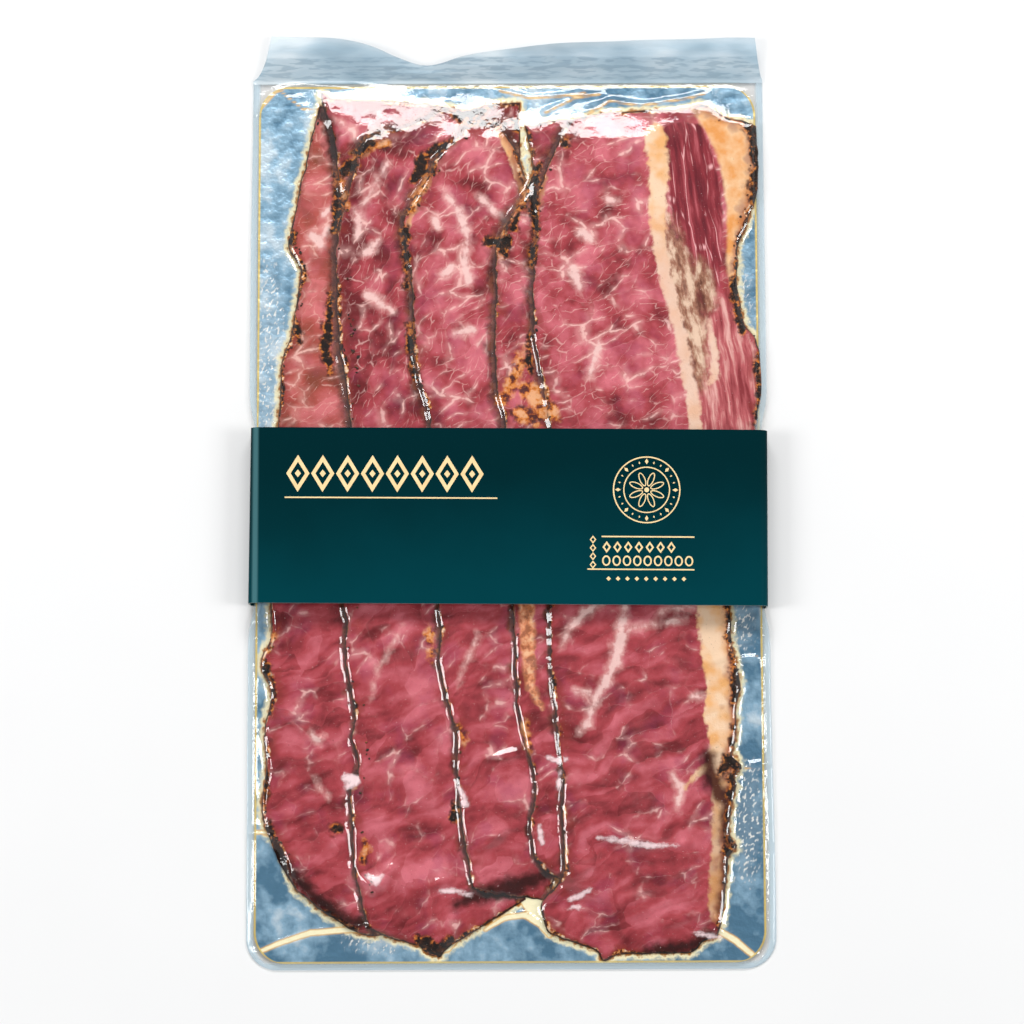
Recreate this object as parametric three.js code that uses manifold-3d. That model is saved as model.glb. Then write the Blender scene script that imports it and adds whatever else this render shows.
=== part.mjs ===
// A retail pack of sliced pastrami, lying on its back.
// Six long slices lie shingled on a stiff board, shrink-wrapped tight in a clear vacuum pouch.
// The pouch runs past the board as a thin sealed rim and, at the head end, as a wavy film header.
// A paperboard sleeve goes round the middle of the pouch.
//
// Millimetres. +Z is up, +Y points to the header, +X to the right of the shown face.
// The shapes are worked out around the middle of the board; the whole pack is then moved
// so that its own origin is under the middle of its box, on the surface that it lies on.
import * as THREE from 'three';
import { mergeVertices } from 'three/addons/utils/BufferGeometryUtils.js';
import Module from 'manifold-3d';

// The board, and the film round it.
const BOARD_WIDTH = 130;
const BOARD_LENGTH = 228;
const BOARD_TOP = 1.3;
const CORNER_RADIUS = 9;
const RIM_WIDTH = 2;
const END_RIM_WIDTH = 1.6;
const RIM_HEIGHT = 0.5;
const WAIST = 2.4;
const WAIST_REACH = 27;
const UNDERSIDE_ARCH = 0.75;

// The slices.
const SLICE_THICKNESS = 1.65;
const EXPOSED_STEP = 1.3;
const HIDDEN_STEP = 9;
const END_STEP = 3;

// The soft lumps of the meat under the film: their height, and how far apart they lie.
const RIPPLE_HEIGHT = 0.22;
const RIPPLE_ACROSS = 7;
const RIPPLE_ALONG = 11;
const RIPPLE_DRIFT = 27;

// The film header past the end of the board.
const HEADER_TOP = 127.6;
const HEADER_LEFT = -61.6;
const HEADER_RIGHT = 65;
const HEADER_THICKNESS = 0.5;
const HEADER_LIFT = 2.2;
const HEADER_OVERLAP = 3.4;
const HEADER_ROOT_WIDTH = 130;
const DIP_CENTRE = -20.7;
const DIP_DEPTH = 5.4;
const DIP_WIDTH = 13;
const SAG = 2.6;
const SHORT_WAVE = { height: 0.9, length: 9.5 };
const LONG_WAVE = { height: 1.1, length: 23 };

// The paperboard sleeve.
const SLEEVE_WIDTH = 132.8;
const SLEEVE_LENGTH = 45.3;
const SLEEVE_HEIGHT = 8.8;
const SLEEVE_CROWN = 0.5;
const SLEEVE_WALL = 0.4;
const SLEEVE_CENTRE_Y = -0.7;
const SLEEVE_TURN = THREE.MathUtils.degToRad(-0.53);
const TOP_BEND = 2.4;
const BOTTOM_BEND = 1.2;
const BEND_STOP = 0.02;

// How finely the surfaces are split.
const SAMPLES_PER_STATION = 8;
const END_ZONE = 17;
const END_ROWS = 15;
const MIDDLE_ROWS = 74;
const TRACK_LIMIT = 90;
const COLUMNS_BETWEEN_EDGES = [3, 0, 3, 3, 1, 8, 0];
const COLUMN_GAP = 0.3;
const HEADER_COLUMNS = 40;
const HEADER_ROWS = 7;
const CROWN_POINTS = 12;
const BEND_SEGMENTS = 6;

// Each slice is a long strip between a left and a right edge, given as [y, x] stations
// from its foot to its head. They are listed from the lowest slice to the top one.
const SLICES = [
  {
    left: [[-107, -34], [-99, -50.7], [-83, -60], [-70, -62.8], [-37, -63], [-20, -61.2],
      [24, -59.5], [47, -56.8], [65, -54.2], [72, -57], [90, -53.4], [108, -49.4]],
    right: [[-107, -20], [0, -22], [108, -22]],
  },
  {
    left: [[-106, -38], [-88, -41], [-62, -40.8], [-23, -43.7], [24, -49], [45, -48.9],
      [66, -45.3], [90, -43.8], [109, -48.6]],
    right: [[-106, -10], [0, -12], [109, -12]],
  },
  {
    left: [[-112, -19], [-107, -33], [-88, -39.7], [-60, -39.5], [-32, -42.3], [0, -41.6],
      [25, -41], [56, -44.5], [76, -44.4], [97, -38], [102, -31], [108, -15]],
    right: [[-112, -18], [-99, 0], [-60, 4], [0, 3], [60, 2], [108, 0]],
  },
  {
    left: [[-97, -7], [-79, -12.3], [-51, -15.4], [-33, -17.8], [0, -19.1], [30, -21.8],
      [56, -25], [77, -27.3], [92, -19.6], [104, -8]],
    right: [[-97, 12], [0, 22], [70, 14], [88, 5.6], [104, -3]],
  },
  {
    left: [[-104, 20], [-92, 11], [-81, 5.1], [-68, 6.5], [-48, 2], [-24, 1.2], [24, -1],
      [48, -3.6], [70, -2.9], [84, 4.8], [94, 6.4], [104, 4.6]],
    right: [[-104, 36], [0, 47], [104, 44]],
  },
  {
    left: [[-110, 17], [-100, 8], [-90, 14], [-67, 13.2], [-40, 10.5], [24, 10.7],
      [42, 7.5], [66, 6.7], [83, 7.2], [99, 13.4], [107, 20]],
    right: [[-110, 50], [-92, 55.2], [-66, 58.4], [-24, 57], [23, 63.8], [38, 65.2],
      [52, 61], [70, 60], [84, 64.6], [94, 65.6], [107, 64]],
  },
];

function curveThrough(stations) {
  const points = stations.map(([y, x]) => new THREE.Vector2(y, x));
  const curve = new THREE.SplineCurve(points);
  return curve.getPoints(stations.length * SAMPLES_PER_STATION);
}

// An edge at y: its x there, and the cosine of its slant, which turns a distance along X
// into the true distance to the edge. The samples hold y in x and x in y.
function edgeAt(samples, y) {
  const last = samples.length - 1;
  const nearest = THREE.MathUtils.clamp(y, samples[0].x, samples[last].x);
  const next = Math.max(1, samples.findIndex((point) => point.x >= nearest));
  const from = samples[next - 1];
  const to = samples[next];
  const x = THREE.MathUtils.mapLinear(nearest, from.x, to.x, from.y, to.y);
  return { x, slant: (to.x - from.x) / from.distanceTo(to) };
}

const slices = SLICES.map(({ left, right }) => ({
  left: curveThrough(left),
  right: curveThrough(right),
  foot: left[0][0],
  head: left[left.length - 1][0],
}));

const step = (distance, width) => THREE.MathUtils.smoothstep(distance, -width / 2, width / 2);

// How much one slice lifts the film: sharp at its exposed edge, soft where it is covered.
function sliceLift(slice, x, y, isTop) {
  const left = edgeAt(slice.left, y);
  const right = edgeAt(slice.right, y);
  const nearSide = step((x - left.x) * left.slant, EXPOSED_STEP);
  const farSide = step((right.x - x) * right.slant, isTop ? EXPOSED_STEP * 2 : HIDDEN_STEP);
  const ends = step(y - slice.foot, END_STEP) * step(slice.head - y, END_STEP);
  return SLICE_THICKNESS * nearSide * farSide * ends;
}

const POUCH_HALF_LENGTH = BOARD_LENGTH / 2 + END_RIM_WIDTH;

// Half the pouch's width: its corners are round, and the sleeve draws in its waist.
function halfWidth(y) {
  const waist = WAIST * Math.exp(-((y / WAIST_REACH) ** 8));
  const full = BOARD_WIDTH / 2 + RIM_WIDTH - waist;
  const intoCorner = Math.abs(y) - (POUCH_HALF_LENGTH - CORNER_RADIUS);
  if (intoCorner <= 0) return full;
  const inset = CORNER_RADIUS - Math.sqrt(Math.max(0, CORNER_RADIUS ** 2 - intoCorner ** 2));
  return full - inset;
}

const underside = (y) => UNDERSIDE_ARCH * (1 - (y / POUCH_HALF_LENGTH) ** 2);

// The film's height over the board: rim, board, then every slice that lies there.
function filmHeight(x, y) {
  const toSide = halfWidth(y) - Math.abs(x);
  const toEnd = POUCH_HALF_LENGTH - Math.abs(y);
  const onBoard = THREE.MathUtils.smoothstep(Math.min(toSide, toEnd), 0.3, RIM_WIDTH);
  let height = RIM_HEIGHT + (BOARD_TOP - RIM_HEIGHT) * onBoard;
  let covered = 0;
  slices.forEach((slice, layer) => {
    const lift = sliceLift(slice, x, y, layer === slices.length - 1) * onBoard;
    height += lift;
    covered = Math.max(covered, lift / SLICE_THICKNESS);
  });
  const bend = 2 * Math.sin(y / RIPPLE_DRIFT);
  const ripple = Math.sin(x / RIPPLE_ACROSS + bend) * Math.cos(y / RIPPLE_ALONG - x / RIPPLE_DRIFT);
  return underside(y) + height + covered * RIPPLE_HEIGHT * ripple;
}

// Rows lie close together at the two ends, where the slices stop, and wider between them.
function rowStations() {
  const inner = POUCH_HALF_LENGTH - END_ZONE;
  const rows = [];
  const addRows = (from, to, count) => {
    for (let i = 0; i < count; i += 1) rows.push(THREE.MathUtils.lerp(from, to, i / count));
  };
  addRows(-POUCH_HALF_LENGTH, -inner, END_ROWS);
  addRows(-inner, inner, MIDDLE_ROWS);
  addRows(inner, POUCH_HALF_LENGTH, END_ROWS);
  rows.push(POUCH_HALF_LENGTH);
  return rows;
}

// Columns follow the slices' edges, one each side of every step, with a few between.
function columnStations(y) {
  const width = halfWidth(y);
  const trackY = THREE.MathUtils.clamp(y, -TRACK_LIMIT, TRACK_LIMIT);
  const tracks = slices.map((slice) => edgeAt(slice.left, trackY).x);
  tracks.push(edgeAt(slices[slices.length - 1].right, trackY).x);
  const half = EXPOSED_STEP / 2;
  const xs = [-width, -width + RIM_WIDTH * 0.5, -width + RIM_WIDTH];
  tracks.forEach((track, i) => {
    xs.push(track - half, track + half);
    const next = i + 1 < tracks.length ? tracks[i + 1] : track;
    const between = COLUMNS_BETWEEN_EDGES[i];
    for (let k = 1; k <= between; k += 1) {
      xs.push(THREE.MathUtils.lerp(track + half, next - half, k / (between + 1)));
    }
  });
  xs.push(width - RIM_WIDTH, width - RIM_WIDTH * 0.5, width);
  for (let i = 1; i < xs.length - 1; i += 1) xs[i] = Math.max(xs[i], xs[i - 1] + COLUMN_GAP);
  for (let i = xs.length - 2; i > 0; i -= 1) xs[i] = Math.min(xs[i], xs[i + 1] - COLUMN_GAP);
  return xs;
}

// Collects shared corners and triangles for one closed body.
function meshBuilder() {
  const positions = [];
  const triangles = [];
  return {
    corner(x, y, z) {
      positions.push(x, y, z);
      return positions.length / 3 - 1;
    },
    triangle(a, b, c) {
      triangles.push(a, b, c);
    },
    quad(a, b, c, d) {
      triangles.push(a, b, c, a, c, d);
    },
    geometry() {
      const geometry = new THREE.BufferGeometry();
      geometry.setAttribute('position', new THREE.Float32BufferAttribute(positions, 3));
      geometry.setIndex(triangles);
      return geometry;
    },
  };
}

// The shut pack itself: the film's surface above, a gently arched flat underside below.
function packGeometry() {
  const build = meshBuilder();
  const rows = rowStations();
  const top = rows.map((y) => columnStations(y).map((x) => build.corner(x, y, filmHeight(x, y))));
  const left = rows.map((y) => build.corner(-halfWidth(y), y, underside(y)));
  const right = rows.map((y) => build.corner(halfWidth(y), y, underside(y)));
  const end = top[0].length - 1;
  for (let r = 0; r + 1 < rows.length; r += 1) {
    for (let c = 0; c < end; c += 1) {
      build.quad(top[r][c], top[r][c + 1], top[r + 1][c + 1], top[r + 1][c]);
    }
    build.quad(left[r], left[r + 1], right[r + 1], right[r]);
    build.quad(left[r], top[r][0], top[r + 1][0], left[r + 1]);
    build.quad(right[r], right[r + 1], top[r + 1][end], top[r][end]);
  }
  const lastRow = rows.length - 1;
  for (let c = 0; c < end; c += 1) {
    build.triangle(left[0], top[0][c + 1], top[0][c]);
    build.triangle(left[lastRow], top[lastRow][c], top[lastRow][c + 1]);
  }
  build.triangle(left[0], right[0], top[0][end]);
  build.triangle(left[lastRow], top[lastRow][end], right[lastRow]);
  return build.geometry();
}

// The header's free edge: a shallow sag, and one deep dip where the film folds away.
function headerEdge(x) {
  const dip = DIP_DEPTH * Math.exp(-(((x - DIP_CENTRE) / DIP_WIDTH) ** 2));
  const along = THREE.MathUtils.clamp((x - HEADER_LEFT) / (HEADER_RIGHT - HEADER_LEFT), 0, 1);
  return HEADER_TOP - dip - SAG * Math.sin(Math.PI * along);
}

function headerHeight(x, share) {
  const short = SHORT_WAVE.height * Math.sin(x / SHORT_WAVE.length);
  const long = LONG_WAVE.height * Math.sin(x / LONG_WAVE.length + 1);
  const root = BOARD_TOP - HEADER_THICKNESS * 0.8;
  return root + share * HEADER_LIFT + share ** 2 * (short + long);
}

// The header: the two films, sealed together, as one thin wavy sheet.
function headerGeometry() {
  const build = meshBuilder();
  const columns = HEADER_COLUMNS;
  const rows = HEADER_ROWS;
  const rootY = BOARD_LENGTH / 2 - HEADER_OVERLAP;
  const rootHalf = HEADER_ROOT_WIDTH / 2;
  const grid = [0, HEADER_THICKNESS].map((rise) => {
    const sheet = [];
    for (let r = 0; r <= rows; r += 1) {
      const share = r / rows;
      const line = [];
      for (let c = 0; c <= columns; c += 1) {
        const edgeX = THREE.MathUtils.lerp(HEADER_LEFT, HEADER_RIGHT, c / columns);
        const rootX = THREE.MathUtils.lerp(-rootHalf, rootHalf, c / columns);
        const x = THREE.MathUtils.lerp(rootX, edgeX, Math.sqrt(share));
        const y = THREE.MathUtils.lerp(rootY, headerEdge(edgeX), share);
        line.push(build.corner(x, y, headerHeight(x, share) + rise));
      }
      sheet.push(line);
    }
    return sheet;
  });
  const [under, over] = grid;
  for (let r = 0; r < rows; r += 1) {
    for (let c = 0; c < columns; c += 1) {
      build.quad(over[r][c], over[r][c + 1], over[r + 1][c + 1], over[r + 1][c]);
      build.quad(under[r][c], under[r + 1][c], under[r + 1][c + 1], under[r][c + 1]);
    }
    build.quad(under[r][0], over[r][0], over[r + 1][0], under[r + 1][0]);
    build.quad(under[r][columns], under[r + 1][columns], over[r + 1][columns], over[r][columns]);
  }
  for (let c = 0; c < columns; c += 1) {
    build.quad(under[0][c], under[0][c + 1], over[0][c + 1], over[0][c]);
    build.quad(under[rows][c], over[rows][c], over[rows][c + 1], under[rows][c + 1]);
  }
  return build.geometry();
}

const wasm = await Module();
wasm.setup();

function solidFrom(geometry) {
  const bare = geometry.clone();
  bare.deleteAttribute('normal');
  bare.deleteAttribute('uv');
  const merged = mergeVertices(bare, 1e-4);
  return new wasm.Manifold(new wasm.Mesh({
    numProp: 3,
    vertProperties: new Float32Array(merged.attributes.position.array),
    triVerts: new Uint32Array(merged.index.array),
  }));
}

function geometryFrom(solid) {
  const { vertProperties, triVerts } = solid.getMesh();
  const geometry = new THREE.BufferGeometry();
  geometry.setAttribute('position', new THREE.BufferAttribute(vertProperties, 3));
  geometry.setIndex(new THREE.BufferAttribute(triVerts, 1));
  geometry.computeVertexNormals();
  return geometry;
}

function pouchGeometry() {
  return geometryFrom(solidFrom(packGeometry()).add(solidFrom(headerGeometry())));
}

// One loop of the sleeve's section, set in from the outer face by a distance.
function sleeveLoop(loop, inset) {
  const half = SLEEVE_WIDTH / 2 - inset;
  const low = inset;
  const high = SLEEVE_HEIGHT - SLEEVE_CROWN - inset;
  const topBend = TOP_BEND - inset;
  const bottomBend = BOTTOM_BEND - inset;
  loop.moveTo(-half + bottomBend, low);
  loop.lineTo(half - bottomBend, low);
  loop.absarc(half - bottomBend, low + bottomBend, bottomBend, -Math.PI / 2, 0, false);
  loop.lineTo(half, high - topBend);
  loop.absarc(half - topBend, high - topBend, topBend, 0, Math.PI / 2 - BEND_STOP, false);
  for (let i = 1; i < CROWN_POINTS; i += 1) {
    const along = i / CROWN_POINTS;
    const x = THREE.MathUtils.lerp(half - topBend, -half + topBend, along);
    loop.lineTo(x, high + SLEEVE_CROWN * Math.sin(Math.PI * along));
  }
  loop.absarc(-half + topBend, high - topBend, topBend, Math.PI / 2 + BEND_STOP, Math.PI, false);
  loop.lineTo(-half, low + bottomBend);
  loop.absarc(-half + bottomBend, low + bottomBend, bottomBend, Math.PI, Math.PI * 1.5, false);
  return loop;
}

function sleeveGeometry() {
  const section = sleeveLoop(new THREE.Shape(), 0);
  section.holes.push(sleeveLoop(new THREE.Path(), SLEEVE_WALL));
  const geometry = new THREE.ExtrudeGeometry(section, {
    depth: SLEEVE_LENGTH,
    bevelEnabled: false,
    curveSegments: BEND_SEGMENTS,
  });
  geometry.translate(0, 0, -SLEEVE_LENGTH / 2);
  geometry.rotateX(Math.PI / 2);
  return geometry;
}

const pouch = new THREE.Mesh(
  pouchGeometry(),
  new THREE.MeshStandardMaterial({ color: 0x9a4a52, roughness: 0.25, metalness: 0 }),
);
pouch.name = 'pouch';

const sleeve = new THREE.Mesh(
  sleeveGeometry(),
  new THREE.MeshStandardMaterial({ color: 0x013237, roughness: 0.5, metalness: 0 }),
);
sleeve.name = 'sleeve';
sleeve.position.y = SLEEVE_CENTRE_Y;
sleeve.rotation.z = SLEEVE_TURN;

const pack = new THREE.Group();
pack.add(pouch, sleeve);
pack.position.y = -(HEADER_TOP - POUCH_HALF_LENGTH) / 2;

export default pack;
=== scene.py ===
# %% [markdown]
# # A pack of sliced pastrami
# A flat retail pack lies on its back. Long slices of cured beef lie shingled on a stiff
# metallised board, clear film is drawn down tight over them, and a dark card sleeve goes
# round the middle. The camera looks down on it, as it would on a pack on a table.
#
# Each cell below makes one piece or one finish. The pack's measured solids come first, because
# every piece has to sit where they say.

# %% Load the measured pack
import math

import bpy
import numpy as np
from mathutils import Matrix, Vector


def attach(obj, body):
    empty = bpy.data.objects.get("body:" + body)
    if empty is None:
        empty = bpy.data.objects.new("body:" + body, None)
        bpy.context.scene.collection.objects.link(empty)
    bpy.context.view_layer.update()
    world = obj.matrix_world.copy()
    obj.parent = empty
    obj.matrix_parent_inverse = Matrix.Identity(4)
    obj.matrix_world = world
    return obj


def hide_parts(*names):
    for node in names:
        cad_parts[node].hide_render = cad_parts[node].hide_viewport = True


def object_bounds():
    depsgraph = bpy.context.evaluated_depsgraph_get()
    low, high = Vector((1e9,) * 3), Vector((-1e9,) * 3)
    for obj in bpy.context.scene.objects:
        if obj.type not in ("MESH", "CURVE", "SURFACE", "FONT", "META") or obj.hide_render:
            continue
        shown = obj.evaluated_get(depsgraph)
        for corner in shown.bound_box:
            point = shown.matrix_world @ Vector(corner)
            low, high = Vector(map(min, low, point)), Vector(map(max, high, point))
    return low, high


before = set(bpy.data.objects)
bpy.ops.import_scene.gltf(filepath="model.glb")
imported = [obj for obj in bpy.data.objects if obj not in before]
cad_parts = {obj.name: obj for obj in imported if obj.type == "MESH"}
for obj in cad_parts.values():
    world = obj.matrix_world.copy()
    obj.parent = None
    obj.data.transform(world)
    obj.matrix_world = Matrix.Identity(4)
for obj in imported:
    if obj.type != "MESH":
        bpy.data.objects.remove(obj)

MM = 0.001
CAD_LOW, CAD_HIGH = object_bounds()

# %% [markdown]
# ## One place to measure from
# It is easiest to think in millimetres round the middle of the board, and to move the finished
# points into the pack's own frame once. The film header makes the pack longer at one end, so the
# board's middle lies a little below the middle of the box. The header's reach gives that shift.

# %% Driving sizes, in millimetres
BOARD_WIDTH = 130.0
BOARD_LENGTH = 228.0
BOARD_CORNER = 8.0
BOARD_THICKNESS = 0.9
UNDERSIDE_ARCH = 0.75
FILM_GAP = 0.16
RIM_WIDTH = 2.0
END_RIM = 1.6
HEADER_REACH = 127.6
SHIFT_Y = CAD_HIGH.y / MM - HEADER_REACH
POUCH_HALF_LENGTH = BOARD_LENGTH / 2 + END_RIM
SLICE_THICKNESS = 1.5
print(f"board middle sits at y = {SHIFT_Y:.1f} mm in the pack's frame")


def underside(y):
    """The board bows up a little between its ends: height of the pouch's back, in mm."""
    return UNDERSIDE_ARCH * (1 - (y / POUCH_HALF_LENGTH) ** 2)


# %% [markdown]
# ## The camera
# A long lens from 850 mm keeps the pack's sides nearly parallel, and a tilt of under eight
# degrees brings the foot of the pack a little nearer. These values come from fitting a pinhole
# camera to the board's four straight sides.

# %% Camera
CAMERA_DISTANCE = 850.0
CAMERA_TILT = math.radians(7.592)
CAMERA_ROLL = math.radians(-0.208)
CAMERA_AIM = (0.891, 1.425)
LENS = 115.72
SENSOR_WIDTH = 36.0


def make_camera():
    back = np.array([0.0, -math.sin(CAMERA_TILT), math.cos(CAMERA_TILT)])
    eye = np.array([CAMERA_AIM[0], CAMERA_AIM[1] + SHIFT_Y, 0.0]) + back * CAMERA_DISTANCE
    bpy.ops.object.camera_add(location=tuple(eye * MM))
    camera = bpy.context.object
    camera.name = "camera"
    camera.rotation_mode = "ZXY"
    camera.rotation_euler = (CAMERA_TILT, 0.0, CAMERA_ROLL)
    camera.data.lens = LENS
    camera.data.sensor_width = SENSOR_WIDTH
    bpy.context.scene.camera = camera
    return camera


bpy.ops.object.select_all(action="DESELECT")
camera = make_camera()
print("camera at", [round(c, 3) for c in camera.location])

# %% [markdown]
# ## Curves
# A slice's edge is drawn through a few given points. A smooth curve joins them, and a
# little seeded unevenness makes it look torn and crusty instead of cut with scissors. Pure sine
# waves would repeat visibly, so smoothed random numbers are used.

# %% Smooth and ragged curves
SAMPLES_PER_SPAN = 12


def even_points(curve, count):
    """The curve resampled at equal distances."""
    steps = np.hypot(*np.diff(curve, axis=0).T)
    along = np.concatenate([[0.0], np.cumsum(steps)])
    wanted = np.linspace(0.0, along[-1], count)
    return np.stack([np.interp(wanted, along, curve[:, k]) for k in (0, 1)], axis=1)


def smooth_curve(points, count):
    """A Catmull-Rom curve through the points, with count points at equal distances."""
    p = np.array(points, float)
    p = np.vstack([2 * p[0] - p[1], p, 2 * p[-1] - p[-2]])
    t = np.linspace(0.0, 1.0, SAMPLES_PER_SPAN, endpoint=False)[:, None]
    spans = []
    for a, b, c, d in zip(p[:-3], p[1:-2], p[2:-1], p[3:]):
        cubic = (-a + 3 * b - 3 * c + d) * t**3 + (2 * a - 5 * b + 4 * c - d) * t**2
        spans.append(0.5 * (cubic + (c - a) * t + 2 * b))
    return even_points(np.vstack(spans + [p[-2:-1]]), count)


def ragged(curve, size, grain, seed):
    """The curve pushed sideways by smoothed random steps, grain points apart, fading at its ends."""
    rng = np.random.default_rng(seed)
    count = len(curve)
    knots = np.arange(0, count + grain, grain)
    push = np.interp(np.arange(count), knots, rng.normal(0.0, size, len(knots)))
    push *= np.clip(np.minimum(np.arange(count), np.arange(count)[::-1]) / (2 * grain), 0, 1)
    tangent = np.gradient(curve, axis=0)
    normal = np.stack([-tangent[:, 1], tangent[:, 0]], axis=1)
    return curve + normal / np.hypot(*normal.T)[:, None] * push[:, None]
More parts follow.
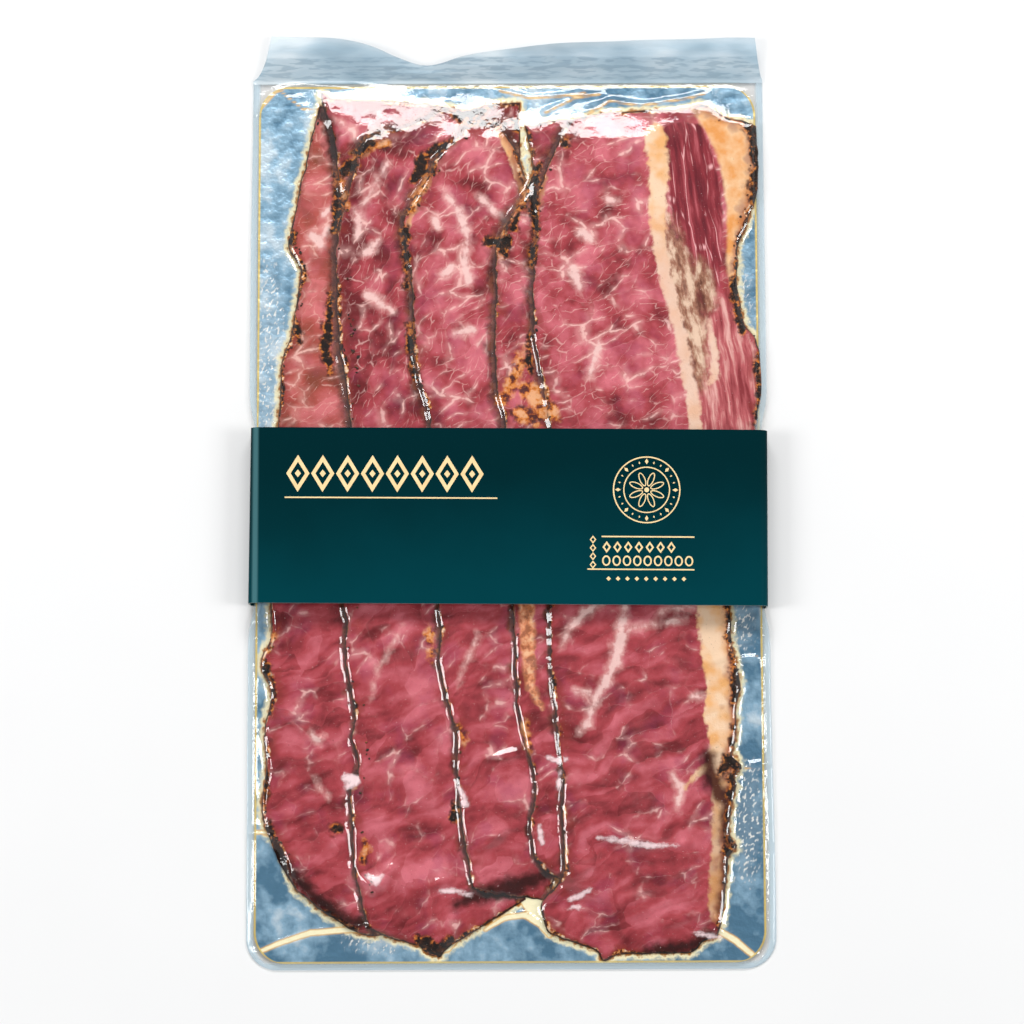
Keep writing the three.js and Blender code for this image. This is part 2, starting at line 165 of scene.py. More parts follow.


# %% [markdown]
# ## Six slices, drawn flat
# Every slice has four edges: left and right from foot to head, foot and head from left to right.
# The slices are listed in the order in which they were laid down, so the widest one comes last
# and lies on top. Only the left edges show on the first five, and their right edges run
# hidden below the next slices.
#
# "fat" holds short strokes (x, y, radius) of creamy fat at the rims, and "vein" holds the larger
# pinkish veins. Random marbling alone would never put them where this pack has them. Thick black
# crust, soft brown painted shadows and amber stains run on from one slice to the next, so their
# strokes are listed once for all of them. Lean meat needs no strokes: its material makes it from noise.

# %% The slices' outlines and fat seams
SLICES = {
    "slice_1": {
        "left": [(-58.1, -84.8), (-61.6, -81), (-62.9, -76), (-62.9, -70), (-62.0, -63.7), (-62.5, -55),
                 (-61.1, -45), (-63.3, -40), (-63.2, -35.6), (-61, -29.7), (-61.3, -23), (-60.6, 0),
                 (-59.5, 24), (-58.8, 40), (-56.8, 46.3), (-54.2, 61), (-54.2, 66.4), (-57.2, 71.2),
                 (-55.2, 81), (-53.4, 90), (-51.8, 97), (-49.2, 108.8)],
        "right": [(-24, -105), (-22, 0), (-24, 107)],
        "foot": [(-55.8, -92.4), (-50.7, -98.7), (-44.3, -103), (-40, -105.8), (-34, -107)],
        "head": [(-38, 108)],
        "fat": [[(-53.6, 66.5, 0.3), (-52, 62, 0.4)]],
        "vein": [[(-50.9, 74, 1.0), (-49, 72.0, 1.2), (-47, 76, 0.4)],
                 [(-47.5, 79.5, 0.4), (-46.9, 80.5, 0.5)],
                 [(-50.6, -55.2, 0.0), (-48.8, -57.6, 0.4), (-47.4, -56.2, 0.0)],
                 [(-50, -67, -0.2), (-48.2, -70, 0.1), (-46.4, -72, -0.2)]],
    },
    "slice_2": {
        "left": [(-33, -101.8), (-37, -90), (-38, -80), (-38, -69), (-36.5, -60), (-38, -42), (-39, -23),
                 (-38.6, 0), (-37.8, 23.7), (-39.6, 38), (-41.4, 50), (-41.6, 72), (-42.2, 80),
                 (-44.3, 87), (-45.2, 99), (-48.2, 108.2), (-49, 112.6)],
        "right": [(-14, -104), (-12, 0), (-12, 108)],
        "foot": [(-28, -103)],
        "head": [(-45.5, 110.8), (-39, 110.3), (-28, 110)],
        "fat": [],
        "vein": [[(-44.5, 104.5, 0.2), (-40, 101, 0.3), (-38.5, 98.5, 0.2)]],
    },
    "slice_3": {
        "left": [(-36.3, -105.1), (-37.6, -99), (-39.3, -90), (-40, -80.4), (-40.8, -71), (-38.7, -64),
                 (-40.1, -57), (-39.8, -49.5), (-42.2, -35), (-41.4, -27.4), (-42.4, -23.3), (-41.7, 0),
                 (-40.8, 23.5), (-42.3, 36.6), (-44.4, 50), (-44.5, 74), (-42.2, 82.8), (-40, 91),
                 (-38.1, 97.1), (-35.5, 100.3), (-32.4, 101.6)],
        "right": [(4, -98), (5, -60), (4, 0), (3, 60), (3.4, 109.6)],
        "foot": [(-30.3, -107.6), (-23.2, -109.6), (-18.5, -112.9), (-15.2, -109.9), (-10, -106.9),
                 (-4, -102.8)],
        "head": [(-25.3, 102.9), (-18.6, 106.7), (-12.3, 107.2), (-4, 109.2)],
        "fat": [[(-39.5, -69.8, 0.6), (-40.6, -66.5, 1.1), (-42.2, -68, 0.9)]],
        "vein": [[(-36.1, 57.8, 0.7), (-33.6, 55.7, 0.9), (-30, 53.8, 0.6)],
                 [(-36.8, 69.2, 0.7), (-35.2, 69.9, 0.7), (-33.8, 72, 0.4)],
                 [(-39.4, 79.5, 0.4), (-38.4, 76.5, 0.7), (-38.9, 73, 0.3)],
                 [(-38.4, 80, 0.2), (-34.6, 86.5, 0.25), (-31, 93, 0.2)],
                 [(-35.6, -48, -0.6), (-33.6, -40, -0.3), (-30, -33.6, -0.2), (-27.4, -28.4, -0.6)]],
    },
    "slice_4": {
        "left": [(-9.6, -95.1), (-10.8, -88), (-12.4, -78), (-13.5, -66), (-13.6, -56), (-15.3, -50.7),
                 (-17.9, -38), (-17.5, -29), (-18.3, -23.6), (-19.1, 0), (-20.2, 24), (-23.2, 36),
                 (-24.5, 47), (-25, 60), (-26.4, 72), (-27.2, 77.6), (-23.2, 85), (-20.2, 89.5),
                 (-19.2, 93), (-14.8, 98), (-11.5, 101.4)],
        "right": [(10, -98), (18, -60), (20, 0), (14, 40), (8, 72), (5.6, 85.5), (3.8, 93), (1.2, 98.3),
                  (-1.9, 103.1)],
        "foot": [(-6.3, -96.4), (0, -97.6)],
        "head": [(-9.6, 103.6), (-5, 104.2)],
        "fat": [[(-2.4, 103, 1.2), (0.2, 98.5, 1.6), (2.9, 92.5, 1.9), (4.4, 86.5, 1.7)],
                [(-19.6, 88.5, 0.6), (-23.1, 83.2, 0.9), (-25.6, 77, 1.0), (-26.3, 73.5, 0.5)],
                [(3.6, 74, 0.8), (1.8, 68, 0.8), (-0.6, 64, 0.4)]],
        "vein": [[(-16.4, 85.5, 0.3), (-13.4, 80.8, 0.5), (-11.4, 76.4, 0.9), (-10.6, 73, 0.5),
                 (-11.2, 66, 0.9), (-9.8, 61, 0.6)], [(-16.4, 63.2, 0.8), (-14.6, 64.5, 0.9)],
                 [(-13, 47.6, 0.6), (-9.6, 48.4, 0.7)], [(-18.6, 77.4, 0.7), (-18.4, 75.6, 0.6)],
                 [(-7.5, 84, 0.3), (-3, 79.5, 0.5), (1, 77, 0.5)],
                 [(-8.0, -30, -0.5), (-9.4, -35, -0.1), (-12.2, -40.5, -0.2), (-13.3, -45, -0.6)]],
    },
    "slice_5": {
        "left": [(6.1, -87.7), (5.1, -80), (6.3, -71), (5.4, -64), (3.2, -56), (2, -49), (1.5, -36),
                 (1.1, -25), (0.4, 0), (-1, 24), (-2.6, 31), (-3.7, 44), (-3.1, 60), (-2.8, 71),
                 (2.3, 80.8), (6.2, 88.5), (6.2, 95), (4.4, 103.9)],
        "right": [(36, -102), (46, -50), (47, 20), (40, 104)],
        "foot": [(8.9, -90.7), (12.7, -93), (20, -98)],
        "head": [(6.5, 103.1), (9.9, 104.2), (20, 105)],
        "fat": [[(1.8, 80.6, 0.7), (-0.6, 76.3, 1.1), (-2.0, 71.5, 1.0)],
                [(4.6, -23, 2.2), (4.8, -35, 1.9), (5.4, -44, 1.2), (8.4, -50, 0.6)]],
        "vein": [[(6, 20, 0.5), (5, 12, 0.6)]],
    },
    "slice_6": {
        "left": [(8.8, -103.7), (7.6, -99.7), (9.1, -97), (12.4, -93.7), (14, -89), (13, -79),
                 (13.4, -70), (12.2, -57), (11, -45), (10.2, -33), (10.5, 0), (10.6, 23), (8.6, 36),
                 (6.7, 48), (6.6, 65), (7.9, 77), (6.9, 82), (9, 88), (11.6, 94.6), (13.5, 99.1)],
        "right": [(52.6, -107.4), (53.7, -103.4), (55.2, -92), (55.8, -87.7), (57.9, -84.8),
                  (56.1, -81.6), (56.7, -73), (58, -69), (57.4, -67), (59.4, -64.4), (57, -61.4),
                  (58, -56), (57.7, -50.5), (59.2, -43), (57.8, -37), (57, -23), (60.8, 0), (64.2, 22.9),
                  (65.5, 33), (65.2, 44), (61.4, 50.5), (60, 58), (59.9, 70), (62.6, 77.5), (64.8, 83),
                  (65.5, 93), (65.2, 103)],
        "foot": [(9.6, -106.2), (12.6, -107.7), (21.3, -110.5), (23.7, -113.4), (26.6, -111.9),
                 (35.3, -111.6), (45.4, -111.4), (48.6, -109)],
        "head": [(15.3, 103.1), (19, 105.5), (26.8, 106.8), (37.2, 107.3), (47.7, 108), (51.1, 108.8),
                 (57.6, 105), (61.2, 104.5)],
        "fat": [[(38.5, 101, 2.8), (39.4, 90, 2.7), (39.0, 81, 2.2), (39.2, 73, 1.9), (40.2, 67, 1.8),
                (41.3, 61, 1.8), (43.1, 54, 1.6), (44.8, 47, 1.6), (46.0, 39, 1.6), (47.6, 31, 1.7),
                (48.6, 21, 1.8)], [(9.6, 88.0, 0.8), (8.3, 84.0, 1.1), (8.2, 81.8, 0.5)],
                [(52.4, 51, 0.5), (53.2, 44, 1.0), (53.6, 37, 1.3), (52.6, 34.5, 0.8)],
                [(52.6, -20, 4.8), (53.4, -32, 4.6), (54.7, -43, 4.4), (54, -52, 4.1), (54.2, -60, 3.3),
                (54.6, -68, 3.0), (54.8, -76, 3.2), (54.4, -84, 3.2), (53.2, -94, 2.8),
                (52.4, -102, 2.0)], [(44.6, -70.4, 0.2), (46.4, -67.6, 0.7), (48.8, -65.6, 0.9),
                (51.5, -64, 1.0)]],
        "vein": [[(29.6, -24, 0.6), (29.0, -29, 0.9), (27.8, -34, 1.2), (27.2, -38, 1.1),
                 (25.6, -41.5, 0.8), (23.2, -45, 0.7), (21.3, -48.5, 0.6), (20.4, -54, 0.3)],
                 [(29.5, -30.6, 0.5), (33, -28.8, 0.2), (39, -27.8, 0.15), (45, -27.0, 0.1)],
                 [(22.6, -22.8, 0.7), (19, -25.6, 0.6), (16, -29.0, 0.3), (13.4, -33.6, 0.15)],
                 [(20.6, -45.6, 0.2), (17, -45.0, 0.15)], [(20.4, -53, 0.3), (18, -55.4, 0.2)],
                 [(39, -25, 0.2), (45, -23.6, 0.25), (49, -23.8, 0.2)],
                 [(19.6, 73.8, 1.0), (21, 72.8, 1.1)], [(17, 64.3, 1.1), (18.1, 61.4, 0.9),
                 (18.9, 58.8, 0.4)], [(25.6, 83, 0.5), (28.6, 82.8, 0.3)],
                 [(23.6, 45, 0.5), (22.4, 41, 0.7), (21, 36, 0.3)],
                 [(47, -46.8, 0.3), (52, -46.6, 0.35), (55, -46.8, 0.4)],
                 [(41, -66.5, 0.2), (44, -70, 0.5), (42.6, -75, 0.4)]],
    },
}
BARK_AT = [[(-46.2, 58, 0.1), (-46.6, 51, 0.9), (-47.2, 44, 1.2), (-46.0, 38, 0.5)],
           [(-45.0, 90, 0.0), (-43.8, 84.5, 0.5), (-44.2, 79.5, 1.0), (-44.9, 75, 0.1)],
           [(-42.2, 90.6, 1.2), (-40.4, 92.4, 1.4)], [(-38.6, 95.4, 1.1), (-35.8, 98.6, 1.3),
           (-33.4, 100.4, 0.6)], [(-24.2, 87.8, 0.6), (-22.2, 91.7, 1.8), (-21.6, 94.2, 1.0),
           (-18.3, 96.9, 0.7), (-14.5, 98.8, 0.3)], [(-26.8, 74.4, 0.8), (-26.4, 70, 0.5),
           (-26, 60, 0.2)], [(-25.4, 50, 0.3), (-25, 44, 0.6), (-24, 36, 0.4)],
           [(-13.8, 106.4, 1.0), (-10.2, 106.2, 1.5), (-6.4, 107.0, 0.7)],
           [(-12, 104.6, 0.7), (-6.8, 104.0, 1.0), (-1.6, 103.6, 0.8)],
           [(-5.4, 108.0, 0.4), (-2.6, 109.2, 0.7), (-0.8, 110.2, 0.4)],
           [(-5.0, 71.4, 0.9), (-2.8, 71.6, 1.2), (-0.6, 68.8, 0.9), (0.2, 72.4, 0.8)],
           [(1.6, 75.4, 0.5), (3.2, 80.4, 0.5)], [(2.2, 104.4, 0.8), (4.6, 100.8, 1.0), (5.5, 95, 0.7),
           (5.7, 89, 0.9), (6.8, 84, 1.2), (7.4, 77, 0.6), (6.2, 66, 0.3)],
           [(8.4, 92.4, 0.5), (7.4, 88.5, 0.8)], [(15.4, 108.4, 0.4), (17.8, 106.9, 0.9),
           (20.2, 105.8, 0.5)], [(15.6, 99.6, 0.4), (15.2, 97.6, 0.5)], [(5.6, 47, 0.3), (5.8, 38, 0.5)],
           [(48.3, 108.2, 0.6), (51.5, 108.6, 0.5), (55, 107, 0.4), (58, 105.4, 0.6), (62, 105.2, 0.8),
           (63.9, 102, 1.5), (65.6, 97, 1.3), (65.8, 92, 1.6), (64.6, 85.6, 1.5), (64.0, 80, 0.3)],
           [(62.8, 76.4, 0.5), (62.4, 75.4, 0.4)], [(60.6, 73.3, 0.5), (60.2, 72, 0.3)],
           [(59.8, 66.4, 0.5), (59.6, 62, 0.7), (59.0, 58, 0.8), (59.8, 52, 0.8), (61, 48, 0.3)],
           [(64.6, 40, 0.4), (65, 32, 0.6), (64.4, 24, 0.7)], [(56.6, -20, 1.0), (56.8, -32, 1.0)],
           [(57.8, -36, 0.6), (58.6, -41, 1.5), (58.2, -46, 1.4), (57.4, -49, 0.4)],
           [(57.4, -55, 0.4), (57.2, -59, 0.6)], [(53.6, -65.6, 0.8), (56.4, -62.8, 1.3),
           (59.0, -64.4, 1.3)], [(56.8, -67.5, 1.0), (57.2, -71, 1.2), (56.2, -77, 0.7),
           (56.4, -83, 0.8)], [(54.6, -85.4, 0.9), (56.6, -86.6, 1.2)],
           [(-23.2, -108.0, 0.8), (-20.8, -109.6, 1.5), (-17.8, -110.8, 1.5), (-15.2, -108.6, 1.0)],
           [(-62.2, -38.6, 1.0), (-62.4, -43, 0.6)], [(-61.6, -79, 0.9), (-61, -84, 0.7)],
           [(-62.2, -66, 0.5), (-62, -72, 0.4)], [(-44.6, -80, 0.9), (-43.6, -80.4, 0.8)],
           [(-14, -74, 0.6), (-14.4, -77.4, 0.9)], [(-56.4, 74, 0.8), (-57.4, 70.6, 0.7)],
           [(-59.4, 41, 0.5), (-60, 36.6, 0.6)], [(-60.2, 26, 0.5), (-60, 23, 0.6)],
           [(-54.6, 50, 0.4), (-54.2, 46, 0.4)]]
# Strokes of soft brown painted shadow.
PAINTED_SHADOW_AT = [[(-13.9, -99.4, 0.4), (-10.1, -97.4, 1.0), (-5.0, -96.4, 1.8), (0, -95.2, 2.2),
           (4.5, -93.5, 1.6), (8.5, -92.5, 1.0)], [(-59, -86, 0.3), (-55.4, -91, 0.8), (-50, -97.0, 1.2),
           (-44, -101.4, 1.2), (-38.5, -104, 1.0)], [(35, -111, 0.8), (45, -110, 1.2), (51, -107, 0.8)],
           [(-49.4, 108, 0.3), (-46.8, 103, 0.6), (-45.2, 95, 0.6)],
           [(50.6, -62, 1.0), (51.6, -68, 1.6), (55.4, -74, 1.2), (55.6, -90, 0.8), (54, -100, 0.6)]]
AMBER_AT = [[(-1.4, 30.0, 1.3), (1.4, 34.6, 1.6), (3.2, 40, 0.9), (3.8, 44, 0.3)],
            [(4.6, 33.4, 2.0), (8.0, 29.4, 2.2), (12.2, 26.3, 1.4)], [(3, 26.3, 2.0), (8, 25.4, 2.0)],
            [(-40, 94, 0.8), (-36, 97, 1.3), (-31.4, 97.4, 0.7)], [(-43.4, 88, 0.6), (-42.6, 82, 1.1)],
            [(-20, 91, 0.6), (-22.6, 86, 0.8), (-25.2, 80, 0.7)],
            [(1.6, 78, 0.5), (4.6, 84, 0.7), (5.8, 92, 0.6)], [(-0.4, 74.6, 0.6), (-1.4, 68, 0.5)],
            [(-20.4, -29, 0.7), (-19.6, -36, 0.7)], [(-37, -88, 0.7), (-36.6, -84, 0.6)],
            [(19.2, 106.6, 0.5), (21.4, 105.2, 0.4)], [(-61.8, -33, 0.7), (-60.6, -30.6, 0.7)],
            [(-12.6, -55, 0.5), (-11.6, -58, 0.6)], [(3.6, -54, 0.7), (5.2, -60, 0.7)]]
OUTLINE_ALONG = 220
OUTLINE_ACROSS = 60
TEAR = 0.16
FINE_TEAR = 0.10


def slice_edges(spec, seed):
    """The four edges of a slice as smooth, slightly ragged curves that share their corners."""
    left, right = spec["left"], spec["right"]
    foot = [left[0], *spec["foot"], right[0]]
    head = [left[-1], *spec["head"], right[-1]]
    edges = {}
    for k, (name, points) in enumerate({"left": left, "right": right, "foot": foot, "head": head}.items()):
        count = OUTLINE_ALONG if name in ("left", "right") else OUTLINE_ACROSS
        curve = smooth_curve(points, count)
        curve = ragged(curve, TEAR, 5, seed + k)
        edges[name] = ragged(curve, FINE_TEAR, 2, seed + 10 + k)
    return edges


edges_of = {name: slice_edges(spec, 100 * i) for i, (name, spec) in enumerate(SLICES.items())}
print("slices:", {name: len(e["left"]) for name, e in edges_of.items()})

# %% [markdown]
# ## A height map of the stack
# Film, slices and board have to touch without passing through each other. Simulating cloth for
# every layer would be slow. A height map is enough, because nothing in a flat pack overhangs:
# each slice takes the smoothed height below it and adds its own thickness, and the film is laid
# over the sum. The map has a cell every half millimetre.

# %% Height map tools
CELL = 0.5
MAP_X = np.arange(-68.0, 68.0 + CELL, CELL)
MAP_Y = np.arange(-117.0, 129.0 + CELL, CELL)
GRID_X, GRID_Y = np.meshgrid(MAP_X, MAP_Y)


def signed_distance(outline, xs, ys):
    """Distance in mm from each point to a closed outline, positive inside it."""
    x, y = xs.ravel(), ys.ravel()
    nearest = np.full(x.shape, 1e9)
    inside = np.zeros(x.shape, bool)
    for (ax, ay), (bx, by) in zip(outline, np.roll(outline, -1, axis=0)):
        dx, dy = bx - ax, by - ay
        along = np.clip(((x - ax) * dx + (y - ay) * dy) / (dx * dx + dy * dy + 1e-12), 0.0, 1.0)
        away = (x - ax - along * dx) ** 2 + (y - ay - along * dy) ** 2
        nearest = np.minimum(nearest, away)
        if ay != by:
            crosses = ((ay > y) != (by > y)) & (x < dx * (y - ay) / dy + ax)
            inside ^= crosses
    distance = np.sqrt(nearest)
    return np.where(inside, distance, -distance).reshape(xs.shape)


def blur(field, size):
    """The field smoothed by a bell curve of that size in mm."""
    reach = max(1, int(3 * size / CELL))
    weights = np.exp(-0.5 * (np.arange(-reach, reach + 1) * CELL / size) ** 2)
    weights /= weights.sum()
    for axis in (0, 1):
        pad = [(0, 0), (0, 0)]
        pad[axis] = (reach, reach)
        wide = np.pad(field, pad, mode="edge")
        length = field.shape[axis]
        field = sum(w * wide.take(range(k, k + length), axis=axis) for k, w in enumerate(weights))
    return field


def soft_noise(size, seed):
    """Smooth random hills, about size mm apart, between roughly -1 and 1."""
    hills = blur(np.random.default_rng(seed).normal(size=GRID_X.shape), size)
    return hills / hills.std() / 2


def sample(field, x, y):
    """The field read between its cells at points in mm."""
    u = np.clip((x - MAP_X[0]) / CELL, 0, len(MAP_X) - 1.001)
    v = np.clip((y - MAP_Y[0]) / CELL, 0, len(MAP_Y) - 1.001)
    i, j = u.astype(int), v.astype(int)
    fu, fv = u - i, v - j
    low = field[j, i] * (1 - fu) + field[j, i + 1] * fu
    high = field[j + 1, i] * (1 - fu) + field[j + 1, i + 1] * fu
    return low * (1 - fv) + high * fv


def rise(low, high, value):
    """0 below low, 1 above high, and a soft S between."""
    t = np.clip((value - low) / (high - low), 0.0, 1.0)
    return t * t * (3 - 2 * t)


def stroke_distance(strokes, xs, ys):
    """Distance to the nearest of some strokes, each a chain of (x, y, radius), negative inside."""
    nearest = np.full(xs.shape, 30.0)
    for chain in strokes:
        for (ax, ay, ar), (bx, by, br) in zip(chain, chain[1:]):
            dx, dy = bx - ax, by - ay
            along = np.clip(((xs - ax) * dx + (ys - ay) * dy) / (dx * dx + dy * dy + 1e-9), 0.0, 1.0)
            away = np.hypot(xs - ax - along * dx, ys - ay - along * dy) - (ar + along * (br - ar))
            nearest = np.minimum(nearest, away)
    return nearest


print("height map:", GRID_X.shape, "cells")

# %% Lay the slices down, one on the other
EDGE_ROUND = 1.1
SAG = 1.1
LUMPS_FADE = 3.0
HEAD_TAPER = (96.0, 110.0)
FOOT_TAPER = (-113.0, -103.0)
GLARE = [[(-36, 103.5, 2.5), (-26, 103.5, 4.5), (-8, 103.5, 6), (3, 104.5, 4.5)],
         [(10, 101.5, 5), (20, 103, 6), (34, 103.5, 6), (42, 104.5, 4), (49, 107, 2)]]


def glare_zone(x, y):
    """1 where the slices' heads slope down gently and mirror the window, 0 elsewhere."""
    return rise(-2.5, 1.5, -stroke_distance(GLARE, x, y))


def edge_profile(depth, x, y):
    """A slice's thickness in mm at some depth in from its edge: rounded, and thinner at its ends."""
    rounded = np.sqrt(1 - (1 - np.clip(depth / EDGE_ROUND, 0, 1)) ** 2)
    head = 1 - 0.62 * rise(*HEAD_TAPER, y) * (0.25 + 0.75 * glare_zone(x, y))
    return SLICE_THICKNESS * (0.25 + 0.75 * rounded) * head * (0.45 + 0.55 * rise(*FOOT_TAPER, y))


TUCK = 16.0
TUCKED_SHARE = 0.06
CREASES = 75
FOLDS = [[(24, -81.5, 0), (30, -83.4, 0), (38, -84.6, 0), (46, -84, 0)],
         [(-19, -94.3, 0), (-15, -93.4, 0), (-10, -94.9, 0)],
         [(-4.5, -63.6, 0), (0, -61.4, 0), (5, -60, 0)],
         [(30, -98, 0), (37, -97, 0), (42, -94, 0), (47, -92, 0)],
         [(41, -104, 0), (47, -101.6, 0), (53, -103.4, 0)], [(-58, -52, 0), (-50, -55, 0), (-46, -58, 0)],
         [(-6, -84, 0), (-1, -80, 0), (4, -78.6, 0)], [(-37, -93, 0), (-33, -94.4, 0), (-30, -90, 0)]]


def edge_at(name, side, y):
    """Where a slice's left or right edge runs at y."""
    edge = edges_of[name][side]
    order = np.argsort(edge[:, 1])
    return np.interp(y, edge[order, 1], edge[order, 0])


def tuck(name, x, y):
    """A slice thins out towards an edge that the next slice hides."""
    if name == "slice_6":
        return np.ones_like(x)
    shown = rise(62.0, 80.0, y) if name == "slice_4" else 0.0
    full = np.maximum(rise(0.0, TUCK, edge_at(name, "right", y) - x), shown)
    if name == "slice_2":
        full = full * np.maximum(rise(0.0, TUCK, x - edge_at(name, "left", y)), rise(79.0, 90.0, y))
    return TUCKED_SHARE + (1 - TUCKED_SHARE) * full


stack = underside(GRID_Y) + BOARD_THICKNESS + 0.1
lumps = 0.20 * soft_noise(4.5, 1) + 0.07 * soft_noise(1.4, 2)
lumps += 0.30 * soft_noise(3.0, 3) * rise(55, 75, -GRID_Y) * rise(-5, 10, GRID_X)
rng = np.random.default_rng(7)
for _ in range(CREASES):
    x, y, length = rng.uniform(-60, 58), rng.uniform(-108, -22), rng.uniform(3, 12)
    angle, height = rng.normal(0.45, 0.35), rng.uniform(0.08, 0.34)
    crease = [[(x, y, 0), (x + length * math.cos(angle), y + length * math.sin(angle), 0)]]
    lumps += height * np.exp(-((stroke_distance(crease, GRID_X, GRID_Y) / rng.uniform(0.6, 1.5)) ** 2))
lumps += 0.6 * np.exp(-((stroke_distance(FOLDS, GRID_X, GRID_Y) / 1.2) ** 2))
lumps += 0.42 * soft_noise(3.2, 21) * rise(20, 60, -GRID_Y)
layers = {}
for name, edges in edges_of.items():
    outline = np.vstack([edges["left"], edges["head"][1:], edges["right"][::-1][1:],
                        edges["foot"][::-1][1:-1]])
    depth = signed_distance(outline, GRID_X, GRID_Y)
    base = blur(stack, SAG)
    body = edge_profile(depth, GRID_X, GRID_Y) + lumps * rise(0.0, LUMPS_FADE, depth)
    top = base + body * tuck(name, GRID_X, GRID_Y)
    cover = np.clip(depth / CELL + 0.5, 0, 1)
    stack = stack + cover * (np.maximum(stack, top) - stack)
    layers[name] = {"depth": depth, "base": base}
print(f"stack reaches z = {stack.max():.2f} mm")

# %% [markdown]
# ## Crust crumbs
# The cured edge is coated with cracked pepper and spice, baked nearly black. Along the rim a
# slice carries small lumps that no bump map can fake, because they break its outline. A lump is
# a small ball pushed out of round. Several hundred go along the edges, more where the crust is
# heavy, all in one mesh, and each one is pressed into the slice by half its height.

# %% Where the crumbs lie
CRUMB_GAP = 1.5
CRUMB_SIZE = (0.26, 0.62)
CRUMB_LOWEST = 2.2
CRUMB_MARGIN = 0.4
HEAVY_CRUST = [(-46.5, 47, 8), (-46.5, 33, 6), (-48, 20, 5), (-35.5, 100, 5), (-30, 102.5, 4),
               (-22, 106, 4), (-24, 84, 5), (-19.5, 90, 3), (5, 85, 5), (-1.5, 74, 5), (-12, 102, 4),
               (-45, 40, 5), (63, 83, 8), (65, 95, 10), (64, 76, 4), (53, 108, 6), (58.5, -65, 7),
               (56, -84, 6), (58, -44, 6), (-61, -82, 6), (-62, -40, 6), (-57, 71, 5), (-54, 61, 5),
               (-19, -111, 4), (-57, 46, 5)]
crumbs = []
rng = np.random.default_rng(41)


def crust_weight(x, y):
    """How heavy the crust is at a point of the rim, from 0 to 1."""
    return max(math.exp(-((x - cx) ** 2 + (y - cy) ** 2) / (reach * reach)) for cx, cy,
               reach in HEAVY_CRUST)


def scatter_crumbs(curve, keep, inward):
    """Crumbs along an edge curve. keep is the chance of each one, inward the side they lean to."""
    length = np.hypot(*np.diff(curve, axis=0).T).sum()
    line = even_points(curve, int(length / CRUMB_GAP * 3))
    tangent = np.gradient(line, axis=0)
    normal = np.stack([tangent[:, 1], -tangent[:, 0]], axis=1) / np.hypot(*tangent.T)[:, None] * inward
    for (x, y), (nx, ny) in zip(line, normal):
        weight = crust_weight(x, y)
        chance, shift, size, spin = rng.random(4)
        if chance < keep * (0.10 + 0.9 * weight):
            depth = 0.15 + shift ** 2 * (0.9 + 1.6 * weight)
            radius = CRUMB_SIZE[0] + (CRUMB_SIZE[1] - CRUMB_SIZE[0]) * size ** 2 * (0.6 + 0.4 * weight)
            crumbs.append((x + nx * depth, y + ny * depth, radius, spin * math.tau))


for name in SLICES:
    scatter_crumbs(edges_of[name]["left"], 0.55, 1.0)
scatter_crumbs(edges_of["slice_6"]["right"], 0.75, -1.0)
scatter_crumbs(edges_of["slice_1"]["foot"], 0.5, -1.0)
scatter_crumbs(edges_of["slice_3"]["foot"], 0.35, -1.0)
scatter_crumbs(edges_of["slice_6"]["head"], 0.4, 1.0)
crumbs = np.array(crumbs)
crumbs = crumbs[sample(stack, crumbs[:, 0], crumbs[:, 1]) > CRUMB_LOWEST]
print("crumbs:", len(crumbs))

# %% Raise the height map under the crumbs
crumb_seat = sample(stack, crumbs[:, 0], crumbs[:, 1])
for (x, y, radius, spin), seat in zip(crumbs, crumb_seat):
    i = np.abs(MAP_X - x) < radius + CELL
    j = np.abs(MAP_Y - y) < radius + CELL
    block = np.ix_(j, i)
    away = np.hypot(GRID_X[block] - x, GRID_Y[block] - y)
    reach = radius + CRUMB_MARGIN
    cap = seat + 0.7 * radius * np.sqrt(np.clip(1 - (away / reach) ** 2, 0, 1))
    stack[block] = np.maximum(stack[block], np.where(away < reach, cap, 0.0))

# %% [markdown]
# ## The film's height
# A vacuum pulls the film down until it bridges only what is too steep to follow. On a height map
# that is a widening of the stack by a cone: nowhere does the film fall faster than its slope
# limit. At both ends it is stiffer, so it comes down in a long ramp there, and that ramp is what
# catches the light above the slices' heads. Pleats are ridges along drawn lines. Fine creases are
# too small to model, so their lines only tell the film's material where to paint it white: partly
# whitened film, partly painted highlight.

# %% Film outline and height
WAIST = 2.0
WAIST_REACH = 27.0
PLEATS = [[(-65.5, 107.1, 0), (-60, 113.5, 0), (-56.9, 110.8, 0), (-53.5, 108.1, 0), (-50.1, 107.6, 0)],
          [(-60, 113.5, 0), (-56.4, 114.6, 0), (-51.7, 114.8, 0), (-43.8, 113.6, 0)],
          [(-1.9, 112.8, 0), (6, 110.8, 0), (13.9, 111.3, 0), (20.4, 112.1, 0)],
          [(9.9, 106.8, 0), (17.8, 110.8, 0), (24.3, 111.8, 0)],
          [(21.7, 106.8, 0), (27, 110, 0), (34.8, 108.6, 0), (47.9, 110.7, 0), (51.9, 112, 0)],
          [(-64.5, -111.3, 0.3), (-58.3, -108.7, 0.4), (-50.7, -106.2, 0.5), (-41.8, -105.5, 0.5),
          (-36, -105.5, 0.3)], [(-66.1, -80.9, 0.2), (-63, -80.7, 0.3), (-57.9, -82.7, 0.1)],
          [(-6.3, -105.6, 0.2), (-1.3, -102.6, 0.4), (3.8, -101.9, 0.5), (7.6, -104.4, 0.4),
          (10.1, -107.2, 0.3)], [(52.7, -105.9, 0.5), (57, -108.4, 0.6), (62.5, -113, 0.4)],
          [(57.1, -62.3, 0.1), (60.3, -64.5, 0.3), (66.5, -63.4, 0.4)],
          [(58.1, -37.2, 0), (63.5, -36.7, 0.2)]]
